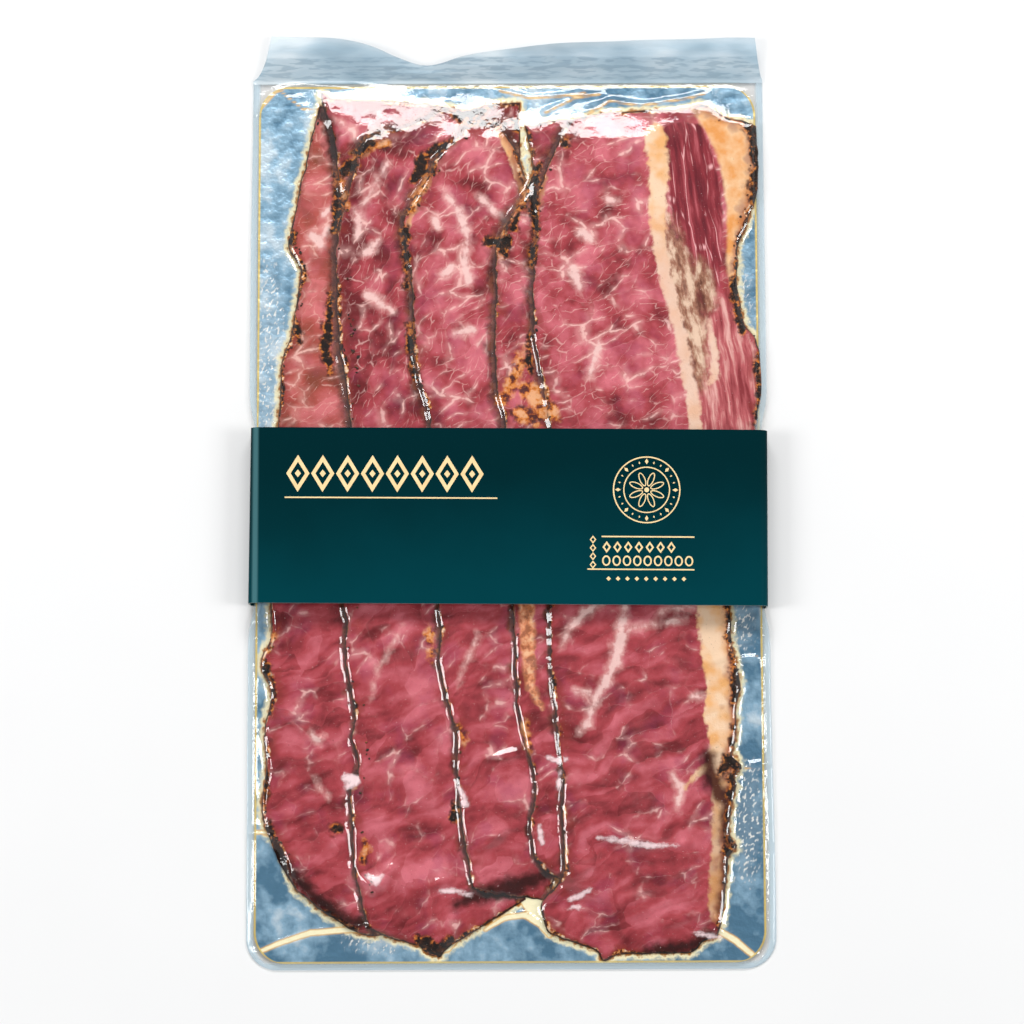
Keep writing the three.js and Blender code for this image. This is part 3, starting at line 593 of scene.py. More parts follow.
# Where the film is painted white along fine creases: partly whitened film, partly painted highlight.
CREASE_GLINTS = [[(-41.6, -66.9, 0.7), (-39.2, -67.8, 0.9), (-41.0, -69.4, 0.5)],
                 [(-35.8, -92.0, 0.3), (-34.0, -93.4, 0.7), (-32.4, -92.0, 0.1)],
                 [(-18.6, -96.0, -0.2), (-14, -95.6, 0.3), (-9.7, -96.8, 0.0)],
                 [(-12.6, -69.6, 0.2), (-11.2, -74, 0.5)],
                 [(10.0, -62.2, 0.1), (12.2, -62.9, 0.5), (14.6, -62.4, 0.0)],
                 [(12.8, -66, -0.1), (12.4, -70, 0.1)], [(14.6, -98.4, -0.1), (17.4, -97.2, 0.4),
                 (20.8, -95.2, 0.0)], [(15, -100.2, -0.1), (18, -99.8, 0.2)],
                 [(22.4, -82.4, -0.1), (29, -83.4, 0.35), (36, -84.6, 0.3), (43, -84.4, -0.2)],
                 [(46.7, -106.4, 0.0), (50.5, -107.4, 0.3), (53.6, -108.0, 0.0)],
                 [(7.4, -79.6, 0.1), (8.2, -83.6, 0.3)]]
FILM_SLOPE = 1.15
END_SLOPE = 0.27
SPREAD_STEPS = 44
PLEAT_HEIGHT = 0.75
PLEAT_REACH = 0.6
RIM_SLOPE = 2.2


def half_width(y):
    """Half the pouch's width at y: round corners at the foot, and a waist under the sleeve."""
    full = BOARD_WIDTH / 2 + RIM_WIDTH - WAIST * np.exp(-((y / WAIST_REACH) ** 8))
    into = np.clip(-y - (POUCH_HALF_LENGTH - BOARD_CORNER), 0, BOARD_CORNER)
    return full - (BOARD_CORNER - np.sqrt(BOARD_CORNER**2 - into**2))


def board_half_width(y):
    """Half the board's width at y, with its four round corners."""
    into = np.clip(np.abs(y) - (BOARD_LENGTH / 2 - BOARD_CORNER), 0, BOARD_CORNER)
    return BOARD_WIDTH / 2 - (BOARD_CORNER - np.sqrt(BOARD_CORNER**2 - into**2))


def spread_film(height, slope, steps):
    """The height map widened so that it never falls faster than the slope."""
    for _ in range(steps):
        for down, across, far in ((0, 1, 1), (1, 0, 1), (1, 1, 1.414), (1, -1, 1.414)):
            fall = slope * CELL * far
            one = np.roll(height, (down, across), axis=(0, 1)) - fall
            other = np.roll(height, (-down, -across), axis=(0, 1)) - fall
            height = np.maximum(height, np.maximum(one, other))
    return height


on_board = (np.abs(GRID_X) < board_half_width(GRID_Y)) & (np.abs(GRID_Y) < BOARD_LENGTH / 2)
bare = underside(np.clip(GRID_Y, -POUCH_HALF_LENGTH, POUCH_HALF_LENGTH))
carried = np.where(on_board, stack, bare + 0.2)
stiff = np.maximum(rise(103, 108, GRID_Y), glare_zone(GRID_X, GRID_Y)) + 0.8 * rise(95, 106, -GRID_Y)
stiff = np.clip(stiff, 0, 1)
film_map = spread_film(carried, FILM_SLOPE + (END_SLOPE - FILM_SLOPE) * stiff, SPREAD_STEPS)
taut = np.maximum(blur(film_map, 2.2), carried)
film_map = np.maximum(blur(film_map, 0.6), carried) * (1 - stiff) + taut * stiff
film_map = blur(film_map, 0.35) + FILM_GAP
film_map += (0.2 + 0.3 * soft_noise(1.5, 9)) * glare_zone(GRID_X, GRID_Y)
film_map += PLEAT_HEIGHT * np.exp(-((stroke_distance(PLEATS, GRID_X, GRID_Y) / PLEAT_REACH) ** 2))
to_rim = np.minimum(half_width(GRID_Y) - np.abs(GRID_X), GRID_Y + POUCH_HALF_LENGTH)
film_map = np.minimum(film_map, bare + 0.25 + RIM_SLOPE * np.clip(to_rim, 0, 9))
print(f"film reaches z = {film_map.max():.2f} mm")

# %% [markdown]
# ## A slab that takes any form
# Board, slices, film and card are all thin closed slabs. Each one starts as a flat grid, which is
# extruded in edit mode to get a back and a rim. A place function then says where every point of
# the unit slab goes. Making a slab and then placing its points keeps the mesh closed, and the
# rows can be set close together where the shape is fine.

# %% Slab maker
def thicken(height):
    """Turns the flat shape in edit mode into a closed solid with outward faces."""
    bpy.ops.mesh.select_all(action="SELECT")
    bpy.ops.mesh.extrude_region_move(TRANSFORM_OT_translate={"value": (0.0, 0.0, height)})
    bpy.ops.mesh.select_all(action="SELECT")
    bpy.ops.mesh.normals_make_consistent(inside=False)
    bpy.ops.object.mode_set(mode="OBJECT")


def read_points(piece):
    """A piece's points as rows of x, y and z, in the mesh's own metres."""
    flat = np.empty(len(piece.data.vertices) * 3)
    piece.data.vertices.foreach_get("co", flat)
    return flat.reshape(-1, 3)


def write_points(piece, x, y, z):
    """Moves a piece's points to places in board millimetres."""
    points = np.stack([x, y + SHIFT_Y, z], axis=1) * MM
    piece.data.vertices.foreach_set("co", points.ravel())
    piece.data.update()


def make_slab(name, columns, rows, place, sharp=50.0):
    """A closed slab of columns x rows, placed by place(u, v, top) in board millimetres."""
    bpy.ops.object.select_all(action="DESELECT")
    bpy.ops.mesh.primitive_grid_add(x_subdivisions=columns, y_subdivisions=rows, size=1.0)
    slab = bpy.context.object
    slab.name = name
    slab.data.name = name
    bpy.ops.object.mode_set(mode="EDIT")
    thicken(1.0)
    u, v, w = read_points(slab).T
    write_points(slab, *place(u + 0.5, v + 0.5, w > 0.5))
    bpy.ops.object.shade_smooth_by_angle(angle=math.radians(sharp))
    return slab


def board_points(piece):
    """A piece's points as board millimetres."""
    points = read_points(piece) / MM
    points[:, 1] -= SHIFT_Y
    return points


def set_attribute(piece, name, values):
    """A number for each point of a piece, which its material reads by name."""
    attribute = piece.data.attributes.new(name, "FLOAT", "POINT")
    attribute.data.foreach_set("value", np.asarray(values, np.float32))


def stations(fractions, knots):
    """Turns evenly spaced 0..1 numbers into places along a list of chosen stations."""
    return np.interp(fractions, np.linspace(0.0, 1.0, len(knots)), knots)


# %% [markdown]
# ## The board
# The slices lie on a stiff board laminated with metallised film: silver-blue on its face, with a
# thin gold line where its cut edge shows. It is a rounded rectangle. The columns crowd towards
# its sides, so that the gold line stays crisp.

# %% Model the board
BOARD_COLUMNS = 220
corner_angles = np.linspace(0.0, math.pi / 2, 13)
corner_rows = BOARD_LENGTH / 2 - BOARD_CORNER * (1 - np.cos(corner_angles))
board_rows = np.sort(np.concatenate([-corner_rows, np.arange(-113.2, -98, 0.55),
                     np.arange(-97.6, -78, 0.8), np.arange(-77, 94, 2.4), np.arange(94.5, 106, 0.8),
                     corner_rows]))
CREAM_AT = [[(2.6, -96.5, 1.0), (5.4, -98.6, 2.2), (8.0, -101.6, 2.0), (9.4, -105, 0.8)],
            [(-22, -107.6, 0.2), (-19.6, -111.6, 0.4), (-15.6, -110.4, 0.4), (-12.4, -106.4, 0.5)]]


def place_board(u, v, top):
    y = stations(v, board_rows)
    x = (0.8 * (2 * u - 1) - 0.2 * np.cos(u * math.pi)) * board_half_width(y)
    z = underside(y) + FILM_GAP + np.where(top, BOARD_THICKNESS - FILM_GAP, 0.0)
    return x, y, z


board = make_slab("board", BOARD_COLUMNS, len(board_rows) - 1, place_board)
spots = board_points(board)
to_side = board_half_width(spots[:, 1]) - np.abs(spots[:, 0])
to_end = BOARD_LENGTH / 2 - np.abs(spots[:, 1])
set_attribute(board, "edge", np.minimum(to_side, to_end))
# Where air beads under the film get painted highlights.
BEAD_GLINTS_AT = [[(-62.5, 66, 1), (-61.5, 50, 3), (-62.5, 22, 2)],
            [(61, -66, 1.5), (60.5, -80, 3.5), (60, -92, 1.5)], [(61.5, 62, 1), (61, 46, 2)],
            [(60, -25, 2), (60.5, -34, 1)], [(-40, -108, 1), (-30, -110, 1)]]
set_attribute(board, "cream", stroke_distance(PLEATS + CREAM_AT, spots[:, 0], spots[:, 1]))
set_attribute(board, "bead_glints", stroke_distance(BEAD_GLINTS_AT, spots[:, 0], spots[:, 1]))
covered = np.max([layer["depth"] for layer in layers.values()], axis=0)
set_attribute(board, "juice", -sample(covered, spots[:, 0], spots[:, 1]))
print("board:", [round(c * 1000, 1) for c in board.dimensions])

# %% [markdown]
# ## The slices
# A slice is a thin slab between its four edge curves. Every point inside is blended from those
# curves, so the ragged rim is followed exactly and the rows bend with the slice. Its height comes
# from the map of the stack. Each point also stores how far it is from the rim and from the fat
# seams, and the meat's material turns those distances into crust, juice lines with painted shadow,
# and fat.

# %% Model the slices
SLICE_ROWS = 300
MUSCLE = [(40.8, 103), (45, 104), (51, 103), (53.3, 95.5), (55.3, 87.5), (56.2, 78.2), (55.8, 68.9),
          (54.7, 59.7), (53.6, 53), (51.6, 51), (49.6, 57), (47.6, 65), (45.3, 71.6), (43.4, 77),
          (42.2, 83), (42.0, 90), (41.0, 97)]
FIBRES = [(43, 70), (47, 72), (51, 60), (53, 52), (57.4, 60), (59.5, 52), (62, 46), (67, 40), (66, 20),
          (60, 0), (48, 0), (48.6, 22), (47.4, 31), (45.8, 39), (44.6, 47), (42.4, 56)]
FAT_CAP = [(47.7, 110), (54.3, 110), (68, 108), (70, 91.4), (66, 78), (61.4, 71), (59.8, 62),
           (57.8, 59.5), (56.8, 66), (57.2, 73.1), (57.1, 81.1), (56.4, 87.7), (54.9, 94.4),
           (52.0, 101.4), (49.0, 105.9)]
SMEAR = [[(41.4, 79, 0.6), (43.0, 71, 2.6), (45.4, 62, 3.8), (47.4, 53, 3.6), (48.6, 44, 2.6),
         (49.6, 34, 1.2)], [(49.8, 66, 1.0), (50.6, 61, 2.4), (52.2, 55, 1.4)]]


def blend_edges(edges, u, v):
    """Points between four edge curves: u runs from left to right, and v from foot to head."""
    def along(curve, t):
        return np.stack([stations(t, curve[:, 0]), stations(t, curve[:, 1])])
    left, right = along(edges["left"], v), along(edges["right"], v)
    foot, head = along(edges["foot"], u), along(edges["head"], u)
    sides = (1 - u) * left + u * right
    ends = (1 - v) * foot + v * head
    low = (1 - u) * edges["left"][0][:, None] + u * edges["right"][0][:, None]
    high = (1 - u) * edges["left"][-1][:, None] + u * edges["right"][-1][:, None]
    return sides + ends - (1 - v) * low - v * high


def model_slice(name):
    edges, layer = edges_of[name], layers[name]
    whole = name == "slice_6"
    columns = 110 if whole else 64

    def place_slice(u, v, top):
        wave = (1 - np.cos(u * math.pi)) / 2
        spread = 0.5 * u + 0.5 * wave if whole else u**1.5
        x, y = blend_edges(edges, spread, v)
        depth = sample(layer["depth"], x, y)
        depth = np.where((u < 1e-6) | (u > 1 - 1e-6) | (v < 1e-6) | (v > 1 - 1e-6), 0.0,
                         np.maximum(depth, 0))
        base = sample(layer["base"], x, y)
        thickness = edge_profile(depth, x, y) + sample(lumps, x, y) * rise(0.0, LUMPS_FADE, depth)
        return x, y, base + np.where(top, thickness * tuck(name, x, y), 0.02)

    piece = make_slab(name, columns, SLICE_ROWS, place_slice, sharp=80.0)
    x, y, _ = board_points(piece).T
    set_attribute(piece, "rim", sample(layer["depth"], x, y))
    later = [layers[other]["depth"] for other in list(SLICES)[list(SLICES).index(name) + 1:]]
    hidden = np.max(later, axis=0) if later else np.full_like(GRID_X, -30.0)
    set_attribute(piece, "gap", -sample(hidden, x, y))
    drawn = {"bark": BARK_AT, "stain_and_shadow": PAINTED_SHADOW_AT, "amber": AMBER_AT, "fat": SLICES[name]["fat"],
             "vein": SLICES[name]["vein"]}
    for key, strokes in drawn.items():
        set_attribute(piece, key, stroke_distance(strokes, x, y))
    far = np.full(len(x), -20.0)
    for key, outline in {"muscle": MUSCLE, "fibre": FIBRES, "cap": FAT_CAP}.items():
        set_attribute(piece, key, signed_distance(outline, x, y) if whole else far)
    set_attribute(piece, "smear", -stroke_distance(SMEAR, x, y) if whole else far)
    weight = np.max([np.exp(-((x - cx) ** 2 + (y - cy) ** 2) / r**2) for cx, cy, r in HEAVY_CRUST], axis=0)
    set_attribute(piece, "crust", weight)
    return piece


slices = {name: model_slice(name) for name in SLICES}
for name, piece in slices.items():
    print(name, [round(c * 1000, 1) for c in piece.dimensions], len(piece.data.polygons), "faces")

# %% Model the crumbs
bpy.ops.object.select_all(action="DESELECT")
bpy.ops.mesh.primitive_ico_sphere_add(subdivisions=2, radius=1.0)
ball = bpy.context.object
ball_points = np.array([vertex.co[:] for vertex in ball.data.vertices])
ball_faces = np.array([face.vertices[:] for face in ball.data.polygons])
bpy.data.objects.remove(ball, do_unlink=True)
lump_points, lump_faces = [], []
for (x, y, radius, spin), seat in zip(crumbs, crumb_seat):
    shape = ball_points * rng.uniform(0.72, 1.0, (len(ball_points), 1)) * rng.uniform([0.9, 0.6, 0.6],
        [1.3, 1.0, 0.75])
    cos, sin = math.cos(spin), math.sin(spin)
    turned = shape @ np.array([[cos, sin, 0], [-sin, cos, 0], [0, 0, 1]])
    lump_faces.append(ball_faces + len(ball_points) * len(lump_points))
    lump_points.append(turned * radius + (x, y + SHIFT_Y, seat + 0.08))
mesh = bpy.data.meshes.new("crust_crumbs")
mesh.from_pydata((np.vstack(lump_points) * MM).tolist(), [], np.vstack(lump_faces).tolist())
crust_crumbs = bpy.data.objects.new("crust_crumbs", mesh)
bpy.context.collection.objects.link(crust_crumbs)
print("crumb faces:", len(mesh.polygons))

# %% [markdown]
# ## The film pouch
# Two sheets of clear film are sealed round the board. Above the board's head they run on as a
# wavy header. One closed slab is enough: its top follows the film map, its back follows the
# board's underside. The columns bunch up along the slices' edges, where the film steps down, so
# the steps stay narrow and catch a thin line of light on each side.

# %% Model the film
HEADER_SIDE = ([115.6, 118, 121, 124.5, 127.6], [-66.0, -64.4, -63.2, -62.4, -61.8],
               [66.7, 66.3, 65.8, 65.4, 65.0])
HEADER_EDGE = [(-61.8, 127.4), (-52, 127.0), (-43.8, 126.3), (-35.9, 124.5), (-29.3, 121.7), (-24, 119.8),
               (-20.7, 119.3), (-17, 119.9), (-11, 121.7), (-1.8, 123.1), (13.9, 124.4), (29.7, 125.3),
               (48, 126.2), (58, 126.4), (65, 126.2)]
FILM_ENDS = 0.6
film_corner = -POUCH_HALF_LENGTH + BOARD_CORNER * (1 - np.cos(corner_angles))
film_rows = np.sort(np.concatenate([film_corner, np.arange(-107.0, -20.0, 0.7),
                    np.arange(-19.0, 19.0, 4.0), np.arange(20.0, 92.0, 1.2),
                    np.arange(92.0, POUCH_HALF_LENGTH, FILM_ENDS),
                    np.linspace(POUCH_HALF_LENGTH, HEADER_REACH, 14)]))
header_curve = smooth_curve(HEADER_EDGE, 200)
BUNCHES = [9, 12, 8, 20, 18, 18, 36, 9]


def film_sides(y):
    """Left and right limits of the film at y."""
    left = np.where(y < 115.6, -half_width(y) + 0.4 * rise(60, 115, y),
                    np.interp(y, HEADER_SIDE[0], HEADER_SIDE[1]))
    right = np.where(y < 115.6, half_width(y) + 0.6 * rise(40, 100, -y),
                     np.interp(y, HEADER_SIDE[0], HEADER_SIDE[2]))
    return left, right


def film_columns(y):
    """The film's column anchors at y: its sides and the slices' edges, kept in order."""
    left, right = film_sides(y)
    anchors = [left]
    for name in SLICES:
        curve = np.array(sorted(SLICES[name]["left"], key=lambda point: point[1]))
        anchors.append(np.interp(y, curve[:, 1], curve[:, 0]) - 0.6)
    curve = np.array(sorted(SLICES["slice_6"]["right"], key=lambda point: point[1]))
    anchors.append(np.minimum(np.interp(y, curve[:, 1], curve[:, 0]) + 0.6, right - 1.0))
    anchors.append(right)
    anchors = list(np.sort(np.array(anchors), axis=0))
    for k in range(1, len(anchors) - 1):
        anchors[k] = np.clip(anchors[k], anchors[k - 1] + 0.8, right - 1.0 * (len(anchors) - 1 - k))
    return np.array(anchors)


def place_film(u, v, top):
    flat_y = stations(v, film_rows)
    columns = np.rint(u * sum(BUNCHES)).astype(int)
    starts = np.concatenate([[0], np.cumsum(BUNCHES)])
    bunch = np.clip(np.searchsorted(starts, columns, side="right") - 1, 0, len(BUNCHES) - 1)
    inside = (columns - starts[bunch]) / np.array(BUNCHES)[bunch]
    eased = 0.35 * inside + 0.65 * (1 - np.cos(inside * math.pi)) / 2
    anchors = film_columns(flat_y)
    rows = np.arange(len(flat_y))
    x = anchors[bunch, rows] * (1 - eased) + anchors[bunch + 1, rows] * eased
    share = np.clip((flat_y - POUCH_HALF_LENGTH) / (HEADER_REACH - POUCH_HALF_LENGTH), 0, 1)
    edge = np.interp(x, header_curve[:, 0], header_curve[:, 1])
    y = np.where(share > 0, POUCH_HALF_LENGTH + share * (edge - POUCH_HALF_LENGTH), flat_y)
    waves = 0.8 * np.sin(x / 9.5) + 1.0 * np.sin(x / 23 + 1) + 0.35 * np.sin(x / 4.1 + 0.14 * y)
    header = 0.9 + 2.2 * share + share**2 * waves
    header += 0.12 * np.sin(y * 3.6) * rise(0.2, 0.4, share) * (1 - rise(0.6, 0.8, share))
    low = underside(np.clip(y, -POUCH_HALF_LENGTH, POUCH_HALF_LENGTH))
    joined = rise(113.5, 116.5, flat_y)
    high = sample(film_map, x, y) * (1 - joined) + (header + 0.1) * joined
    low = low * (1 - joined) + (header - 0.1) * joined
    return x, y, np.where(top, np.maximum(high, low + 0.12), low)


film = make_slab("film", sum(BUNCHES), len(film_rows) - 1, place_film, sharp=88.0)
x, y, _ = board_points(film).T
reach = np.interp(x, header_curve[:, 0], header_curve[:, 1]) - POUCH_HALF_LENGTH
set_attribute(film, "header", (y - POUCH_HALF_LENGTH) / reach)
set_attribute(film, "crease", stroke_distance(CREASE_GLINTS, x, y))
left, right = film_sides(y)
set_attribute(film, "rim", np.minimum(np.minimum(x - left, right - x), y + POUCH_HALF_LENGTH))
print("film:", [round(c * 1000, 1) for c in film.dimensions], len(film.data.polygons), "faces")

# %% [markdown]
# ## The card sleeve
# One strip of card is wrapped round the pack and glued where its ends overlap at the back. It is
# modelled just so: a long thin slab whose columns follow the path round the pack, from the inner
# end of the overlap to the outer one. The overlap then shows at the back as it really would.

# %% Model the sleeve
CARD = 0.36
SLEEVE_WIDTH = 132.8
SLEEVE_LENGTH = 45.3
SLEEVE_HEIGHT = 8.8
SLEEVE_CROWN = 0.5
SLEEVE_CENTRE_Y = -0.7
SLEEVE_TURN = math.radians(-0.53)
TOP_BEND = 2.4
LOW_BEND = 1.2
INNER_END = -8.0
OUTER_END = -24.0


def fold(x, z, radius, start, end):
    """Points round a fold in the card, angles in degrees."""
    angles = np.radians(np.linspace(start, end, 9))
    return [(x + radius * math.cos(a), z + radius * math.sin(a)) for a in angles]


def card_crown(x):
    """How far the card's top bulges above its folds at x."""
    flat = SLEEVE_WIDTH / 2 - TOP_BEND
    return SLEEVE_CROWN * np.cos(np.clip(np.asarray(x) / flat, -1, 1) * math.pi / 2)


half, flat, roof = SLEEVE_WIDTH / 2, SLEEVE_WIDTH / 2 - TOP_BEND, SLEEVE_HEIGHT - SLEEVE_CROWN
card_path = [(INNER_END, CARD + 0.03), (OUTER_END, CARD + 0.03), (OUTER_END - 2.5, 0.0), (-50, 0.0)]
card_path += fold(-half + LOW_BEND, LOW_BEND, LOW_BEND, 270, 180)
card_path += fold(-flat, roof - TOP_BEND, TOP_BEND, 180, 92)
card_path += [(x, roof + card_crown(x)) for x in np.linspace(-flat, flat, 41)[1:-1]]
card_path += fold(flat, roof - TOP_BEND, TOP_BEND, 88, 0)
card_path += fold(half - LOW_BEND, LOW_BEND, LOW_BEND, 0, -90)
card_path = np.array(card_path + [(50, 0.0), (20, 0.0), (0, 0.0), (OUTER_END, 0.0)])


def turn_with_sleeve(x, y):
    """The sleeve sits a little off the middle and slightly turned."""
    cos, sin = math.cos(SLEEVE_TURN), math.sin(SLEEVE_TURN)
    return x * cos - y * sin, x * sin + y * cos + SLEEVE_CENTRE_Y


def place_sleeve(u, v, top):
    step = np.rint(u * (len(card_path) - 1)).astype(int)
    tangent = np.gradient(card_path, axis=0)
    tangent /= np.hypot(*tangent.T)[:, None]
    inward = np.stack([tangent[:, 1], -tangent[:, 0]], axis=1)
    spot = card_path[step] + np.where(top, 0.0, CARD)[:, None] * inward[step]
    x, y = turn_with_sleeve(spot[:, 0], (v - 0.5) * SLEEVE_LENGTH)
    return x, y, spot[:, 1]


sleeve = make_slab("card_sleeve", len(card_path) - 1, 12, place_sleeve, sharp=40.0)
print("sleeve:", [round(c * 1000, 1) for c in sleeve.dimensions])
print("lowest point of the sleeve in mm:", round(board_points(sleeve)[:, 2].min(), 2))

# %% [markdown]
# ## The print on the card
# Plain cream ornament is printed on the card: a row of lozenges over a rule at the left, a rosette
# in two rings at the right, and below it two rules with rows of small lozenges and rings. Every
# motif is a flat primitive, inset and extruded by a hair, so it stays crisp at any size.

# %% Print maker
INK = 0.05
print_parts = []


def edit_flat(scale):
    """Scales the new flat shape and opens it in edit mode with everything selected."""
    bpy.context.object.scale = (*scale, 1.0)
    bpy.ops.object.transform_apply(location=False, rotation=False, scale=True)
    bpy.ops.object.mode_set(mode="EDIT")
    bpy.ops.mesh.select_all(action="SELECT")


def finish_motif(x, y, turn=0.0):
    """Gives the shape its hair of ink, sets it at a place on the card and keeps it for joining."""
    thicken(INK)
    motif = bpy.context.object
    motif.rotation_euler.z = turn
    motif.location = (x, y, 0.0)
    bpy.ops.object.transform_apply(location=True, rotation=True, scale=True)
    print_parts.append(motif)
    bpy.ops.object.select_all(action="DESELECT")


def flat_shape(x, y, sides, radius, scale=(1.0, 1.0), turn=0.0, line=None):
    """A flat polygon on the card, filled, or an outline when a line width is given."""
    bpy.ops.object.select_all(action="DESELECT")
    bpy.ops.mesh.primitive_circle_add(vertices=sides, radius=radius, fill_type="NGON")
    edit_flat(scale)
    if line:
        bpy.ops.mesh.inset(thickness=line, depth=0.0, use_even_offset=True)
        bpy.ops.mesh.delete(type="FACE")
    finish_motif(x, y, turn)


def rule(x, y, length, width):
    """A printed rule, centred at x, y, in steps of about 3 mm so that it follows the card."""
    bpy.ops.object.select_all(action="DESELECT")
    bpy.ops.mesh.primitive_grid_add(x_subdivisions=max(1, int(length / 3)), y_subdivisions=1, size=1.0)
    edit_flat((length, width))
    finish_motif(x, y)


# %% Draw the ornament
TITLE_LEFT, TITLE_RIGHT, TITLE_Y, TITLE_HEIGHT = -57.2, -6.2, 10.7, 9.6
LOZENGES = 8
RULE_WIDTH = 0.36
pitch = (TITLE_RIGHT - TITLE_LEFT) / LOZENGES
for k in range(LOZENGES):
    x = TITLE_LEFT + (k + 0.5) * pitch
    flat_shape(x, TITLE_Y, 4, TITLE_HEIGHT / 2, scale=(0.62, 1.0), line=0.95)
    flat_shape(x, TITLE_Y, 4, 1.0, scale=(0.8, 1.0))
rule((TITLE_LEFT - 3.0) / 2, TITLE_Y - 6.2, 54.4, RULE_WIDTH)

ROSETTE_X, ROSETTE_Y = 35.3, 6.9
flat_shape(ROSETTE_X, ROSETTE_Y, 96, 8.65, line=0.34)
flat_shape(ROSETTE_X, ROSETTE_Y, 72, 6.0, line=0.3)
for k in range(24):
    angle = math.tau * k / 24
    out = 7.2 if k % 3 else 7.35
    flat_shape(ROSETTE_X + out * math.cos(angle), ROSETTE_Y + out * math.sin(angle), 4,
               0.36 if k % 3 else 0.75, scale=(1.0, 0.6), turn=angle)
for k in range(8):
    angle = math.tau * (k + 0.5) / 8
    flat_shape(ROSETTE_X + 2.9 * math.cos(angle), ROSETTE_Y + 2.9 * math.sin(angle), 20, 1.9,
               scale=(1.0, 0.42), turn=angle, line=0.26)
flat_shape(ROSETTE_X, ROSETTE_Y, 20, 0.62)

BLOCK_LEFT, BLOCK_RIGHT, LOW_RULE_LEFT = 23.8, 47.5, 20.2
rule((BLOCK_LEFT + BLOCK_RIGHT) / 2, -5.2, BLOCK_RIGHT - BLOCK_LEFT, RULE_WIDTH)
rule((LOW_RULE_LEFT + BLOCK_RIGHT) / 2, -13.6, BLOCK_RIGHT - LOW_RULE_LEFT, RULE_WIDTH)
for k in range(7):
    x = BLOCK_LEFT + 1.3 + k * 2.75
    flat_shape(x, -7.9, 4, 1.5, scale=(0.72, 1.0), line=0.42)
for k in range(9):
    x = BLOCK_LEFT + 1.2 + k * 2.64
    flat_shape(x, -11.4, 20, 1.35, scale=(0.8, 1.0), line=0.4)
for k in range(9):
    flat_shape(25.6 + k * 2.4, -16.0, 4, 0.6)
for k in range(4):
    flat_shape(21.6, -6.0 - k * 2.15, 4, 1.05, scale=(0.8, 1.0), line=0.3)

bpy.ops.object.select_all(action="DESELECT")
for motif in print_parts:
    motif.select_set(True)
bpy.context.view_layer.objects.active = print_parts[0]
bpy.ops.object.join()
sleeve_print = bpy.context.object
sleeve_print.name = "sleeve_print"
px, py, pz = read_points(sleeve_print).T
write_points(sleeve_print, *turn_with_sleeve(px, py), roof + card_crown(px) + pz - INK * 0.4)
print("print motifs:", len(print_parts), "faces:", len(sleeve_print.data.polygons))

# %% [markdown]
# ## Building materials from nodes
# A material is a small graph, and writing one node at a time hides its idea. One helper adds a
# node to the tree in hand and wires its inputs, and a few more name the jobs that come up again:
# arithmetic, a soft step, a colour laid over another where a stored distance is small, noise.
# Colours are written as they look on screen. Patterns are in millimetres in the pack's own space, so
# they lie fixed on the pack. The pack is nearly flat, so flat noise in x and y is enough, and it
# renders much faster than noise in space.

# %% Node helpers
def srgb(red, green, blue):
    """A colour given as it looks on screen, 0 to 255, in the linear numbers that shaders use."""
    levels = [((c / 255 + 0.055) / 1.055) ** 2.4 if c > 10 else c / 3295 for c in (red, green, blue)]
    return (*levels, 1.0)


trees = []


def start_tree(owner):
    """Empties the node tree of a material or a world, and takes it in hand."""
    owner.use_nodes = True
    owner.node_tree.nodes.clear()
    trees.append(owner.node_tree)
    return owner


def new_material(name):
    return start_tree(bpy.data.materials.new(name))


def add(kind, inputs, output=0, **settings):
    """Adds a shader node. An input is a value or another node's output, by name or number."""
    tree = trees[-1]
    node = tree.nodes.new("ShaderNode" + kind)
    for key, value in settings.items():
        setattr(node, key, value)
    for key, value in inputs.items():
        socket = node.inputs[key]
        if isinstance(value, bpy.types.NodeSocket):
            tree.links.new(value, socket)
        elif socket.type == "RGBA" and len(value) == 3:
            socket.default_value = srgb(*value)
        else:
            socket.default_value = value
    return node.outputs[output] if node.outputs else node


def calc(operation, *values):
    return add("Math", dict(enumerate(values)), operation=operation)


def times(first, second):
    return calc("MULTIPLY", first, second)


def plus(first, second):
    return calc("ADD", first, second)


def scaled(value, factor, offset):
    """value times factor, plus offset."""
    return calc("MULTIPLY_ADD", value, factor, offset)


def soft_step(value, low, high, start=0.0, end=1.0):
    """start below low, end above high, and a soft S between."""
    inputs = {"Value": value, "From Min": low, "From Max": high, "To Min": start, "To Max": end}
    return add("MapRange", inputs, interpolation_type="SMOOTHSTEP")


def mix(share, first, second, blend="MIX"):
    inputs = {0: share, 6: first, 7: second}
    return add("Mix", inputs, output=2, data_type="RGBA", blend_type=blend, clamp_factor=True)


def mix_value(share, first, second):
    """A number blended between two, as mix() does for colours."""
    return add("Mix", {0: share, 2: first, 3: second}, data_type="FLOAT")


def paint(colour, tone, distance, low, high, strength=1.0):
    """The tone laid over a colour up to a distance of low, and fading out from there to high."""
    return mix(soft_step(distance, low, high, strength, 0.0), colour, tone)


def ramp(value, stops):
    """A colour that runs through (place, colour) stops."""
    output = add("ValToRGB", {0: value})
    elements = output.node.color_ramp.elements
    while len(elements) < len(stops):
        elements.new(0.5)
    for element, (place, colour) in zip(elements, stops):
        element.position = place
        element.color = srgb(*colour)
    return output


def object_space():
    return add("TexCoord", {}, output=3)


def position(axis):
    """A point's place in metres along one axis, 0 across the pack and 1 along it."""
    return add("SeparateXYZ", {0: object_space()}, output=axis)


def millimetres(shift=(0.0, 0.0, 0.0), squeeze=(1.0, 1.0, 1.0)):
    """Object coordinates in mm, moved and squeezed for one pattern."""
    scale = tuple(1000.0 * s for s in squeeze)
    return add("Mapping", {"Vector": object_space(), "Location": shift, "Scale": scale})


def noise(where, size, detail=3.0, roughness=0.55, output=0):
    """Cloudy noise with features about size mm across."""
    inputs = {"Vector": where, "Scale": 1.0 / size, "Detail": detail, "Roughness": roughness}
    return add("TexNoise", inputs, output=output, noise_dimensions="2D")


